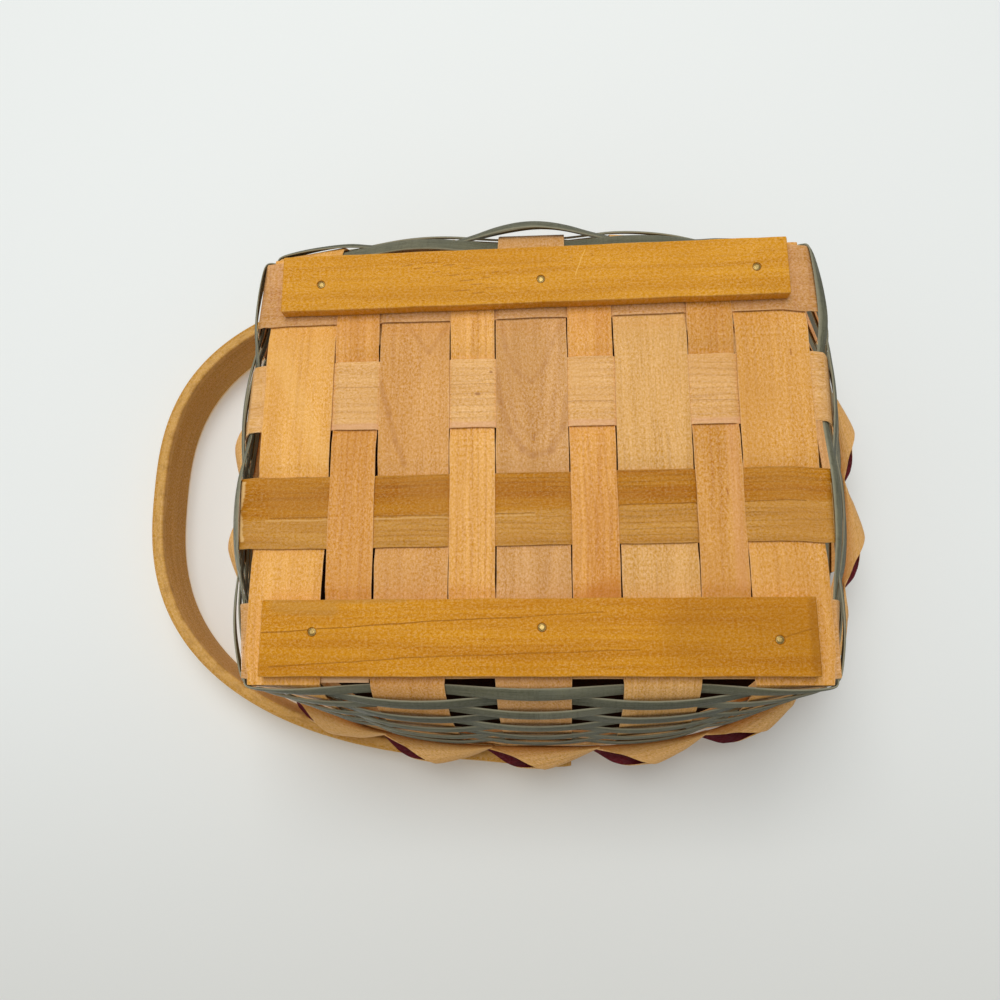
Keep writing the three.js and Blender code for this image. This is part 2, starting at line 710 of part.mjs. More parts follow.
function handle() {
  const path = handlePath();
  const capMiddle = handleWidth / 2 - tailLength;
  const sections = path.map((spot, i) => {
    const before = path[Math.max(i - 1, 0)];
    const after = path[Math.min(i + 1, path.length - 1)];
    const along = after.clone().sub(before).normalize();
    const out = new THREE.Vector3(along.y, -along.x, 0);
    const past = Math.max(capMiddle - spot.x, 0);
    const round = Math.sqrt(Math.max((handleWidth / 2) ** 2 - past ** 2, tailTipHalfWidth ** 2));
    const halfThick = handleThickness / 2;
    const corners = [
      [halfThick, round - handleEdge],
      [halfThick - handleEdge, round],
      [-halfThick + handleEdge, round],
      [-halfThick, round - handleEdge],
      [-halfThick, -round + handleEdge],
      [-halfThick + handleEdge, -round],
      [halfThick - handleEdge, -round],
      [halfThick, -round + handleEdge],
    ];
    return corners.map(([n, z]) => new THREE.Vector3(spot.x, spot.y, pivotZ + z)
      .addScaledVector(out, n));
  });
  return cut(loft(sections, false), [rivetTool(-1), rivetTool(1)]);
}
addPiece('swing_handle', handle(), 'handle');

// Rivets with a domed head outside the arm and a burr inside the inner hoop, and washers
function rivet() {
  const under = rivetFace + touchGap;
  const burr = rivetEnd - touchGap;
  return turned([
    [0, burr - rivetBurrHeight],
    [rivetBurrRadius * 0.8, burr - rivetBurrHeight],
    [rivetBurrRadius, burr - rivetBurrHeight / 2],
    [rivetBurrRadius, burr],
    [rivetShankRadius, burr],
    [rivetShankRadius, under],
    [rivetHeadRadius, under],
    [rivetHeadRadius * 0.94, under + rivetHeadHeight * 0.4],
    [rivetHeadRadius * 0.6, under + rivetHeadHeight * 0.85],
    [0, under + rivetHeadHeight],
  ], 16);
}

function washer() {
  const inner = rivetShankRadius + holeClearance;
  const from = rimHalfWidth + hoopOuter + touchGap;
  return turned([
    [inner, from],
    [washerRadius, from],
    [washerRadius, from + washerThickness],
    [inner, from + washerThickness],
    [inner, from],
  ], 16);
}

[['front', -1], ['rear', 1]].forEach(([end, side]) => {
  const place = (geometry) => geometry
    .rotateX((-side * Math.PI) / 2)
    .translate(pivotX, 0, pivotZ);
  addPiece(`${end}_pivot_rivet`, place(rivet()), 'brass');
  addPiece(`${end}_pivot_washer`, place(washer()), 'brass');
});

export default group;
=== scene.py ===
import math
from functools import partial

import bpy
import numpy as np
from mathutils import Matrix, Vector


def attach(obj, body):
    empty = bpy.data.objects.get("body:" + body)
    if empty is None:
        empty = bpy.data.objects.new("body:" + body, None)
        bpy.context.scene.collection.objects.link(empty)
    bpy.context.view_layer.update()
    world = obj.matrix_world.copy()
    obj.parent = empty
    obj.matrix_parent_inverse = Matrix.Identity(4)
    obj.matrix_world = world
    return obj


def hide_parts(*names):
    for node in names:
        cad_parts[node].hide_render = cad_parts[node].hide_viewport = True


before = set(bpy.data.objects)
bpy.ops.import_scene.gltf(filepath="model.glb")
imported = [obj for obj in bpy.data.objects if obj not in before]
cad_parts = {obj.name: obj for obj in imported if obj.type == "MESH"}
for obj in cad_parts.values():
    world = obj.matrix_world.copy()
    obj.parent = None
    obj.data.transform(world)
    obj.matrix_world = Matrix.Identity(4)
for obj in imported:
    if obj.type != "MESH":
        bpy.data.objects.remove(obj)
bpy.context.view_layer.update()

scene = bpy.context.scene
mm = 0.001
print("frame loaded")


def addObject(name, data):
    made = bpy.data.objects.new(name, data)
    scene.collection.objects.link(made)
    return made


# The camera is under the basket and looks up at its base
camera = {
    "place": (-0.013715, -0.106566, -0.372080),
    "right": (-0.997155, 0.001624, 0.075365),
    "up": (-0.015275, 0.974674, -0.223107),
    "lens": 30.6, "sensor": 36, "nearest": 0.01,
}
sideways, upwards = Vector(camera["right"]), Vector(camera["up"])
turn = Matrix((sideways, upwards, sideways.cross(upwards))).transposed()
eye = addObject("camera", bpy.data.cameras.new("camera"))
eye.data.lens = camera["lens"]
eye.data.sensor_width = camera["sensor"]
eye.data.clip_start = camera["nearest"]
eye.matrix_world = Matrix.Translation(camera["place"]) @ turn.to_4x4()
scene.camera = eye
scene.view_settings.view_transform = "Standard"


# Colours are written as they look on screen, from 0 to 255
def tone(red, green, blue):
    shares = [c / 255 for c in (red, green, blue)]
    linear = [c / 12.92 if c <= 0.04045 else ((c + 0.055) / 1.055) ** 2.4 for c in shares]
    return (*linear, 1)


def addNode(tree, kind, values=None, **settings):
    made = tree.nodes.new("ShaderNode" + kind)
    for key, value in settings.items():
        setattr(made, key, value)
    for key, value in (values or {}).items():
        if isinstance(value, bpy.types.NodeSocket):
            tree.links.new(value, made.inputs[key])
        else:
            made.inputs[key].default_value = value
    return made


# Adds a node to the tree that its first given socket is in
def follow(kind, values, **settings):
    sockets = [v for v in values.values() if isinstance(v, bpy.types.NodeSocket)]
    return addNode(sockets[0].id_data, kind, values, **settings).outputs


def calc(operation, *values, clamp=False):
    return follow("Math", dict(enumerate(values)), operation=operation, use_clamp=clamp)[0]


times, minus = partial(calc, "MULTIPLY"), partial(calc, "SUBTRACT")
timesPlus = partial(calc, "MULTIPLY_ADD")


def vectorCalc(operation, first, second, output=0):
    values = {0: first, "Scale" if operation == "SCALE" else 1: second}
    return follow("VectorMath", values, operation=operation)[output]


def axes(place):
    return follow("SeparateXYZ", {0: place})


def ramp(value, low, high):
    values = {"Value": value, "From Min": low, "From Max": high, "To Min": 0, "To Max": 1}
    return follow("MapRange", values, interpolation_type="SMOOTHSTEP")["Result"]


def mixed(share, first, second):
    return follow("Mix", {0: share, 6: first, 7: second}, data_type="RGBA")[2]


def noise(place, scale, detail=3, roughness=0.55, output="Fac"):
    values = {"Vector": place, "Scale": scale, "Detail": detail, "Roughness": roughness}
    return follow("TexNoise", values)[output]


def stretched(place, across, along, seed):
    offset = follow("CombineXYZ", {"X": times(seed, 7.3), "Y": times(seed, 3.1), "Z": seed})
    return vectorCalc("ADD", vectorCalc("MULTIPLY", place, (across, along, 1)), offset[0])


# Makes a node group from the values of its inputs, with None for places, and from the
# function that makes its outputs
def makeGroup(name, inputs, makeOutputs):
    group = bpy.data.node_groups.new(name, "ShaderNodeTree")

    def addSocket(label, way, kind):
        return group.interface.new_socket(name=label, in_out=way, socket_type="NodeSocket" + kind)

    for label, value in inputs.items():
        if value is None:
            addSocket(label, "INPUT", "Vector")
        else:
            kind = "Color" if isinstance(value, tuple) else "Float"
            addSocket(label, "INPUT", kind).default_value = value
    made = makeOutputs(group.nodes.new("NodeGroupInput").outputs)
    for label in made:
        addSocket(label, "OUTPUT", "Color" if label == "Color" else "Float")
    out = group.nodes.new("NodeGroupOutput").inputs
    for label, socket in made.items():
        group.links.new(socket, out[label])
    return group


# How often each field of the grain changes in a millimetre, across the wood and along it
grainFields = {
    "bend": (0.02, 0.012), "uneven": (0.3, 0.004), "fade": (0.06, 0.012), "broad": (0.13, 0.007),
    "middling": (0.7, 0.016), "fibre": (2.6, 0.08), "fleck": (2.4, 0.3), "chatter": (0.05, 0.75),
    "grit": (1.1, 0.7),
}
# How much of everything is in a wood where its own look doesn't say
grainAmounts = {
    "rings": 0.2, "spacing": 4.0, "sharp": 4.0, "arch": 0.0, "archPlace": 0.0,
    "fibre": 0.3, "fleck": 0.3, "chatter": 0.06, "sparkle": 0.9,
}


# Wood grain. Grain is the place on the wood in millimetres, across it and along it
def grainOutputs(given):
    place, seed = given["Grain"], given["Seed"]
    parts = axes(place)

    def field(name, detail=2, roughness=0.55):
        return noise(stretched(place, *grainFields[name], seed), 1, detail, roughness)

    def lined(color, mask, amount):
        return mixed(times(amount, mask), color, given["Line"])

    across = calc("ADD", parts["X"], timesPlus(field("bend"), 9, -4.5))
    straight = calc("ADD", across, timesPlus(field("uneven", 3), 5, -2.5))
    up = times(minus(parts["Y"], given["archPlace"]), 0.12)
    arch = minus(calc("SQRT", timesPlus(across, across, 9)), up)
    rings = follow("Mix", {0: given["arch"], 2: straight, 3: arch})[0]
    turns = times(calc("DIVIDE", rings, given["spacing"]), 6.283)
    wave = calc("POWER", timesPlus(calc("SINE", turns), 0.5, 0.5), given["sharp"])
    wave = times(times(wave, ramp(field("fade"), 0.34, 0.62)), given["rings"])
    broad, middling = ramp(field("broad", 3), 0.34, 0.66), ramp(field("middling", 3), 0.3, 0.7)
    streak = timesPlus(middling, 0.4, times(broad, 0.6))
    fibre = field("fibre", 4, 0.68)
    fleck = times(ramp(field("fleck"), 0.62, 0.74), given["fleck"])
    grit = minus(field("grit", 4, 0.85), 0.5)

    color = mixed(streak, given["Pale"], given["Deep"])
    color = mixed(wave, color, given["Line"])
    color = lined(color, ramp(fibre, 0.5, 0.74), given["fibre"])
    color = lined(color, ramp(field("chatter"), 0.5, 0.72), given["chatter"])
    color = mixed(fleck, color, given["Line"])
    bright = {"Color": color, "Bright": times(grit, given["sparkle"])}
    height = timesPlus(grit, 0.5, minus(fibre, times(wave, 0.35)))
    return {"Color": follow("BrightContrast", bright)[0], "Height": minus(height, fleck),
            "Roughness": timesPlus(fibre, 0.24, 0.46)}


# A short or long mark between two places on the wood
def strokeOutputs(given):
    place = stretched(given["Grain"], 0.3, 0.08, given["Seed"])
    shift = vectorCalc("SUBTRACT", noise(place, 1, 3, 0.5, "Color"), (0.5, 0.5, 0.5))
    shift = vectorCalc("SCALE", shift, times(given["Ragged"], 3.0))
    place = vectorCalc("MULTIPLY", vectorCalc("ADD", given["Grain"], shift), (1, 1, 0))
    away = vectorCalc("SUBTRACT", place, given["From"])
    length = vectorCalc("SUBTRACT", given["To"], given["From"])
    onto = vectorCalc("DOT_PRODUCT", away, length, "Value")
    whole = vectorCalc("DOT_PRODUCT", length, length, "Value")
    share = calc("DIVIDE", onto, calc("MAXIMUM", whole, 0.01), clamp=True)
    gap = vectorCalc("DISTANCE", away, vectorCalc("SCALE", length, share), "Value")
    near = minus(1, calc("DIVIDE", gap, given["Width"]), clamp=True)
    return {"Mask": ramp(near, 0, 0.7)}


# Masks along both edges of a flat strip: the pale edge, partly wear and partly a painted highlight,
# and ragged dark dirt
def edgeOutputs(given):
    inside = minus(given["Half Width"], calc("ABSOLUTE", axes(given["Grain"])["X"]))
    rough = noise(stretched(given["Grain"], 0.3, 0.12, given["Seed"]), 1, 4, 0.7)
    reach = times(given["Reach"], timesPlus(rough, 2.2, -0.2))
    near = minus(1, calc("DIVIDE", inside, calc("MAXIMUM", reach, 0.05)), clamp=True)
    return {"Edge": near, "Ragged": times(near, ramp(rough, 0.45, 0.65))}


# Soft patches of age over a whole piece, in object space
def patinaOutputs(given):
    place = addNode(given["Seed"].id_data, "TexCoord").outputs["Object"]
    place = vectorCalc("MULTIPLY", place, (1000, 1000, 1000))
    scaled = vectorCalc("SCALE", place, calc("DIVIDE", 1, given["Patch Size"]))
    patches = noise(vectorCalc("ADD", scaled, given["Seed"]), 1, 3)
    return {"Patch": ramp(patches, 0.35, 0.68), "Speck": ramp(noise(place, 0.9, 2), 0.66, 0.74)}


woodGrain = makeGroup("woodGrain", {
    "Grain": None, "Seed": 1.0, "Pale": tone(225, 170, 100), "Deep": tone(205, 145, 80),
    "Line": tone(160, 105, 55), **grainAmounts}, grainOutputs)
stroke = makeGroup("stroke", {
    "Grain": None, "From": None, "To": None, "Width": 0.5, "Ragged": 0.5, "Seed": 1.0,
}, strokeOutputs)
edgeWearAndHighlight = makeGroup("edgeWearAndHighlight", {
    "Grain": None, "Half Width": 16.5, "Reach": 1.2, "Seed": 1.0}, edgeOutputs)
patina = makeGroup("patina", {"Seed": 1.0, "Patch Size": 30.0}, patinaOutputs)


def useGroup(tree, group, values):
    return addNode(tree, "Group", values, node_tree=group).outputs


def startMaterial(name):
    material = bpy.data.materials.new(name)
    material.use_nodes = True
    tree = material.node_tree
    return material, tree, tree.nodes["Principled BSDF"]


def dress(shader, color, roughness, height, bump, distance=0.0004):
    normal = follow("Bump", {"Height": height, "Strength": bump, "Distance": distance})[0]
    for label, value in (("Base Color", color), ("Roughness", roughness), ("Normal", normal)):
        shader.id_data.links.new(value, shader.inputs[label])


# The rest of a wood's look where its own doesn't say. Colours are pale and deep grain, the
# lines in it, its pale edges, which are partly wear and partly a painted highlight, its aged
# patches and the tint of its lighter marks.
woodLook = {
    **grainAmounts, "edge": (238, 200, 148), "tint": (236, 196, 150),
    "halfWidth": 16.5, "edgeReach": 0.7, "edgeAmount": 0.35, "patch": 35.0, "patchAmount": 0.35,
    "ragged": 0.4, "speck": 0.2, "bump": 0.3, "gloss": 0.12, "strokes": [],
}


# Strokes are marks from one place to another across and along the wood, with a width and a
# strength each. Those with a negative strength have the tint. A split divides a strip
# lengthwise into two tones.
def woodMaterial(name, look):
    look = {**woodLook, "aged": look["deep"], **look}
    material, tree, shader = startMaterial(name)
    place = addNode(tree, "UVMap", uv_map="grain").outputs[0]
    seed, line = look["seed"], tone(*look["line"])
    pale, deep = tone(*look["pale"]), tone(*look["deep"])
    if "split" in look:
        parts = axes(place)
        border = timesPlus(parts["Y"], *look["split"])
        beyond = ramp(minus(parts["X"], border), -0.8, 0.8)
        pale = mixed(beyond, pale, tone(*look["paleBeyond"]))
        deep = mixed(beyond, deep, tone(*look["deepBeyond"]))
    grain = useGroup(tree, woodGrain, {
        "Grain": place, "Seed": seed, "Pale": pale, "Deep": deep, "Line": line,
        **{key: look[key] for key in grainAmounts}})
    edge = useGroup(tree, edgeWearAndHighlight, {"Grain": place, "Half Width": look["halfWidth"],
                                     "Reach": look["edgeReach"], "Seed": seed})
    age = useGroup(tree, patina, {"Seed": seed, "Patch Size": look["patch"]})

    def over(color, mask, amount, other):
        return mixed(times(mask, amount), color, other)

    color = over(grain["Color"], age["Patch"], look["patchAmount"], tone(*look["aged"]))
    for across, along, toAcross, toAlong, width, strength in look["strokes"]:
        mask = useGroup(tree, stroke, {
            "Grain": place, "From": (across, along, 0), "To": (toAcross, toAlong, 0),
            "Width": width, "Ragged": min(width, 0.6), "Seed": seed})["Mask"]
        color = over(color, mask, abs(strength), line if strength > 0 else tone(*look["tint"]))
    # Pale edges, partly wear and partly a painted highlight, then ragged dark dirt along them
    color = over(color, edge["Edge"], look["edgeAmount"], tone(*look["edge"]))
    color = over(color, edge["Ragged"], look["ragged"], line)
    color = over(color, age["Speck"], look["speck"], line)
    dress(shader, color, grain["Roughness"], grain["Height"], look["bump"])
    shader.inputs["Specular IOR Level"].default_value = look["gloss"]
    return material


print("node groups made")


# The wall, in millimetres. Place g counts the stakes round it, anticlockwise from above
# and from the middle of the front, and run w goes up it from the edge of the base. The rear
# wall and the ends bulge a little, low down.
wall = {
    "baseHalfLength": 129.0, "baseHalfWidth": 102.0, "baseCorner": 3.0,
    "rimHalfLength": 157.1, "rimHalfWidth": 129.5, "rimPower": 2.8,
    "bowlHeight": 68.0, "settleRun": 12.0, "sideLean": 0.45, "endLean": 0.85, "endReach": 45.0,
    "splintWidth": 33.0, "stripWidth": 33.6, "pitch": 54.8,
    "strips": (-83.0, -25.3, 30.5, 83.0),
    "middle": 1.1, "lift": 0.7, "thickness": 0.8,
    "hoopStart": 114.0, "run": 136.0, "top": 135.4, "roundRun": (100, 113),
    "cornerSteps": 12, "rimSteps": 3600, "bowlSteps": 400, "placeStep": 0.03, "runStep": 0.4,
    "bulges": [
        {"places": (6.3, 6.6, 7.4, 8.0, 9.0, 10.0, 10.9), "out": (0, 5.4, 5.4, 4.0, 5.2, 3.4, 0),
         "way": (0.0, 1.0), "rise": 13, "fall": (28, 76)},
        {"places": (2.5, 3.0, 4.0, 5.0, 6.0, 6.5), "out": (0, 0.6, 6.0, 3.2, 2.4, 0),
         "way": (1.0, 0.0), "rise": 1.2, "fall": (10, 58)},
        {"places": (11.5, 12.0, 12.45, 12.7, 13.0, 14.0, 15.0), "way": (-1.0, 0.0),
         "out": (0, 4.4, 5.6, 3.9, 3.6, 2.6, 0), "rise": 2.4, "fall": (10, 52)},
    ],
}


def smooth(value, low, high):
    t = np.clip((value - low) / (high - low), 0, 1)
    return t * t * (3 - 2 * t)


# One array with its parts side by side in the last axis
def joined(*parts):
    return np.stack(np.broadcast_arrays(*parts), axis=-1)


# Bends a circle's sines and cosines towards a rounded box
def squared(value, power):
    return np.sign(value) * np.abs(value) ** (2 / power)


def walked(points):
    steps = np.linalg.norm(np.diff(points, axis=0), axis=1)
    return np.concatenate([[0], np.cumsum(steps)])


def baseLine():
    x, y, r = wall["baseHalfLength"], wall["baseHalfWidth"], wall["baseCorner"]
    corners = ((x - r, r - y, -90), (x - r, y - r, 0), (r - x, y - r, 90), (r - x, r - y, 180))
    points = [(0, -y)]
    for middleX, middleY, start in corners:
        for angle in np.radians(np.linspace(start, start + 90, wall["cornerSteps"] + 1)):
            points.append((middleX + r * math.cos(angle), middleY + r * math.sin(angle)))
    return np.array(points + [(0, -y)])


def rimLine():
    angle = np.linspace(-math.pi / 2, 1.5 * math.pi, wall["rimSteps"] + 1)
    return joined(wall["rimHalfLength"] * squared(np.cos(angle), wall["rimPower"]),
                  wall["rimHalfWidth"] * squared(np.sin(angle), wall["rimPower"]))


basePoints, rimPoints = baseLine(), rimLine()
baseRuns, rimRuns = walked(basePoints), walked(rimPoints)
baseRound, rimRound = baseRuns[-1], rimRuns[-1]
overhang = wall["rimHalfWidth"] - wall["baseHalfWidth"]
bowlAngle = np.linspace(-math.pi / 2, 0, wall["bowlSteps"] + 1)
bowlPoints = joined(overhang * np.cos(bowlAngle), wall["bowlHeight"] * (1 + np.sin(bowlAngle)))
bowlRuns = walked(bowlPoints)
bowlRun = bowlRuns[-1]
wallHeight = wall["run"] - bowlRun + wall["bowlHeight"]
columnPlaces = [(c - 2) * wall["pitch"] for c in range(5)]


# Each stake's place round the base, its width and whether it leaves the base above or below
def stakeList():
    right = [(y, wall["stripWidth"], -1 if s % 2 else 1) for s, y in enumerate(wall["strips"])]
    left = [(-y, size, level) for y, size, level in reversed(right)]
    front, rear = ([(x, wall["splintWidth"], level) for x in columnPlaces] for level in (-1, 1))
    every = [(k * baseRound / 4 + offset, size, level)
             for k, row in enumerate((front, right, rear, left)) for offset, size, level in row]
    return every[2:] + [(arc + baseRound, size, level) for arc, size, level in every[:2]]


stakes = stakeList()
stakeCount = len(stakes)
rimGap = (rimRound - sum(size for _, size, _ in stakes)) / stakeCount
stakeShare = wall["splintWidth"] * stakeCount / (2 * rimRound)
rimArcs = [0.0]
for before, here in zip(stakes, stakes[1:]):
    rimArcs.append(rimArcs[-1] + (before[1] + here[1]) / 2 + rimGap)
knots = [(i + way * stakeShare + lap * stakeCount,
          stakes[i][0] + way * stakes[i][1] / 2 + lap * baseRound,
          rimArcs[i] + way * stakes[i][1] / 2 + lap * rimRound, stakes[i][2])
         for lap in (-1, 0, 1) for i in range(stakeCount) for way in (-1, 1)]
knotPlaces, knotBase, knotRim, knotLevel = np.array(knots, float).T


def onLine(runs, points, arc):
    return joined(*(np.interp(arc, runs, points[:, k]) for k in (0, 1)))


def spread(g, w):
    return np.broadcast_arrays(np.asarray(g, float), np.asarray(w, float))


def freePoint(g, w):
    g, w = spread(g, w)
    low = onLine(baseRuns, basePoints, np.interp(g, knotPlaces, knotBase) % baseRound)
    high = onLine(rimRuns, rimPoints, np.interp(g, knotPlaces, knotRim) % rimRound)
    run = np.clip(w, 0, bowlRun)
    bendX, bendZ = (np.interp(run, bowlRuns, bowlPoints[:, k]) for k in (0, 1))
    fromEnd = wall["baseHalfLength"] - np.abs(low[..., 0])
    atEnd = smooth(1 - fromEnd / wall["endReach"], 0, 1)
    steep = wall["sideLean"] + (wall["endLean"] - wall["sideLean"]) * atEnd
    height = bendZ + (run / bowlRun * wall["bowlHeight"] - bendZ) * steep
    height = height + np.maximum(w - bowlRun, 0)
    swell = bendX / overhang + (run / bowlRun - bendX / overhang) * steep
    swell, lean = swell[..., None], (height / wallHeight)[..., None]
    flat = low + (high - low) * np.where((high - low) * low > 0, swell, lean)
    for bulge in wall["bulges"]:
        out = np.interp(g, bulge["places"], bulge["out"])
        out = out * smooth(w, 0, bulge["rise"]) * (1 - smooth(w, *bulge["fall"]))
        flat = flat + out[..., None] * np.array(bulge["way"])
    settled = 1 - smooth(w, 0, wall["settleRun"])
    level = wall["middle"] + np.interp(g, knotPlaces, knotLevel) * wall["lift"] * settled
    return np.concatenate([flat, (level + height)[..., None]], axis=-1)


# A stake runs straight across low down, and follows the round of the hoops at the top
def wallPoint(g, w):
    g, w = spread(g, w)
    nearest = np.round(g)
    share = np.clip((g - nearest) / stakeShare, -1, 1)
    low, high = freePoint(nearest - stakeShare, w), freePoint(nearest + stakeShare, w)
    chord = low + (high - low) * ((share + 1) / 2)[..., None]
    free = freePoint(g, w)
    flatness = (1 - smooth(w, *wall["roundRun"])) * (np.abs(g - nearest) < stakeShare)
    return free + (chord - free) * flatness[..., None]


def wallNormal(g, w):
    g, w = spread(g, w)
    nearest, step, rise = np.round(g), wall["placeStep"], wall["runStep"]
    onStake = np.abs(g - nearest) <= stakeShare + 1e-6
    low = np.where(onStake, np.maximum(g - step, nearest - stakeShare + 1e-5), g - step)
    high = np.where(onStake, np.minimum(g + step, nearest + stakeShare - 1e-5), g + step)
    along = wallPoint(high, w) - wallPoint(low, w)
    up = wallPoint(g, w + rise) - wallPoint(g, np.maximum(w - rise, 0))
    normal = np.cross(along, up)
    return normal / np.linalg.norm(normal, axis=-1, keepdims=True)


def offWall(g, w, n):
    return wallPoint(g, w) + wallNormal(g, w) * np.asarray(n, float)[..., None]


# Small unevenness along a piece, between -1 and 1
def wander(run, seed, length):
    phases = np.random.default_rng(seed).uniform(0, 2 * math.pi, 4)
    waves = [np.sin(2 * math.pi * np.asarray(run) * k / length + phases[k - 1]) / k
             for k in (1, 2, 3, 4)]
    return sum(waves) / 2.1


def turnsIn(points, faces):
    a, b, c, d = points[np.array([f for f in faces if len(f) == 4])].transpose(1, 0, 2)
    return np.sum(a * (np.cross(b, c) + np.cross(c, d))) < 0


sharpFrom = 38


def addPiece(name, points, faces, grain, materials, nodes, body="basket", sharp=sharpFrom,
             slots=None):
    mesh = bpy.data.meshes.new(name)
    points = np.asarray(points, float).reshape(-1, 3)
    mesh.from_pydata((points * mm).tolist(), [], faces)
    layer = mesh.uv_layers.new(name="grain")
    corners = np.zeros(len(mesh.loops), int)
    mesh.loops.foreach_get("vertex_index", corners)
    layer.data.foreach_set("uv", np.asarray(grain, float).reshape(-1, 2)[corners].ravel())
    for material in materials:
        mesh.materials.append(material)
    if slots is not None:
        mesh.polygons.foreach_set("material_index", slots)
    if turnsIn(points, faces):
        mesh.flip_normals()
    mesh.shade_smooth()
    mesh.set_sharp_from_angle(angle=math.radians(sharp))
    piece = addObject(name, mesh)
    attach(piece, body)
    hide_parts(*nodes)
    return piece


# Faces over closed sections, looped on themselves or closed by an end face each
def loftFaces(rows, columns, looped, start=0):
    def at(i, j):
        return start + (i % rows) * columns + j % columns

    faces = [(at(i, j), at(i + 1, j), at(i + 1, j + 1), at(i, j + 1))
             for i in range(rows if looped else rows - 1) for j in range(columns)]
    if not looped:
        faces.append(tuple(at(0, j) for j in range(columns)))
        faces.append(tuple(at(rows - 1, j) for j in reversed(range(columns))))
    return faces


softEdge = {"inset": 0.9, "tip": 0.25, "shoulder": 0.66}


# Closed section of a flat strip with softened edges: shares of its half width, and heights
def stripSection(halfWidth, halfThick, columns=9):
    inner = 1 - halfThick * softEdge["inset"] / halfWidth
    tip = 1 - halfThick * softEdge["tip"] / halfWidth
    across, lift = np.linspace(-inner, inner, columns), softEdge["shoulder"]
    shares = [*across, tip, 1, tip, *across[::-1], -tip, -1, -tip]
    heights = [1] * columns + [lift, 0, -lift] + [-1] * columns + [-lift, 0, lift]
    return np.array(shares), np.array(heights) * halfThick


# Strokes along a bent line
def bentLine(places, width, strength):
    return [(*here, *there, width, strength) for here, there in zip(places, places[1:])]


# Looks of the splints that cross the base, from the basket's -X end to its +X end, with
# their middles in millimetres at y -56 and +56
wideSplints = [
    {"middles": (-110.8, -110.5), "width": 33.0, "pale": (228, 171, 96),
     "deep": (208, 149, 73), "line": (172, 112, 50), "seed": 11,
     "strokes": [(-8.1, 45.2, -7.9, 47.8, 0.5, 0.8)]},
    {"middles": (-55.9, -55.2), "width": 33.6, "pale": (229, 179, 113),
     "deep": (209, 158, 90), "line": (166, 116, 64), "rings": 0.25, "spacing": 1.9,
     "fibre": 0.4, "seed": 12},
    {"middles": (-0.5, 0.1), "width": 33.2, "pale": (220, 169, 111), "deep": (199, 147, 87),
     "line": (170, 116, 68), "spacing": 5.6, "sharp": 2.0, "arch": 1.0, "seed": 13,
     "strokes": [
         (-0.8, 6.6, -1.1, 9.8, 0.45, 0.8),
         *bentLine([(16.7, 41), (14.3, 25.6), (10, 11), (4.6, 2.6), (-0.3, -0.4), (-8.6, 1.6),
                    (-14.4, 13), (-16.4, 28)], 2.4, 0.3),
         *bentLine([(12, 30), (7.5, 16), (0, 8), (-6.5, 14), (-10.5, 30)], 1.4, 0.16),
         *bentLine([(13.4, 65), (12, 53), (7, 40), (0, 35), (-6.6, 44), (-10, 54), (-14, 64)],
                   1.8, 0.2)]},
    {"middles": (54.4, 55.1), "width": 33.2, "pale": (223, 168, 103), "deep": (203, 146, 80),
     "line": (172, 114, 62), "spacing": 6.5, "sharp": 2.0, "arch": 0.9, "archPlace": 30,
     "seed": 14, "strokes": [*bentLine([(16, 36), (11.6, 21), (8.4, 7.5), (4, -3)], 1.9, 0.32),
                             *bentLine([(6, 70), (-0.8, 59), (-6.7, 51), (-14.6, 63)], 1.8, 0.2)]},
    {"middles": (111.2, 110.0), "width": 33.0, "pale": (240, 182, 102),
     "deep": (219, 159, 80), "line": (180, 120, 56), "tint": (250, 200, 122), "seed": 15,
     "strokes": [(10, 50, -14, 0, 7.0, -0.2)]},
]
# Short is by how much a filler ends before the edge of the base, at the front
fillers = [
    {"middles": (-83.5, -82.9), "width": 20.9, "short": 3.4, "pale": (222, 165, 92),
     "deep": (198, 139, 66), "tint": (224, 164, 112), "seed": 21,
     "strokes": [(-3.2, -19.6, -2.7, -17.2, 0.5, 0.8), (-7, -60, -7, 20, 4.0, -0.35)]},
    {"middles": (-28.0, -27.4), "width": 20.9, "short": 3.0, "pale": (234, 174, 98),
     "deep": (206, 142, 70), "tint": (196, 124, 48), "seed": 22,
     "strokes": [(6, -70, -6, -62, 9.0, -0.5)]},
    {"middles": (27.0, 27.8), "width": 20.9, "short": 2.4, "pale": (240, 183, 107),
     "deep": (219, 160, 84), "seed": 23},
    {"middles": (82.6, 82.9), "width": 21.1, "short": 0, "pale": (229, 169, 96),
     "deep": (206, 144, 71), "tint": (240, 208, 168), "seed": 24,
     "strokes": [(-10, -100.6, 10, -100.6, 2.2, -0.7)]},
]
fillerWood = {"line": (172, 106, 46), "rings": 0.3, "spacing": 3.2, "fibre": 0.35}
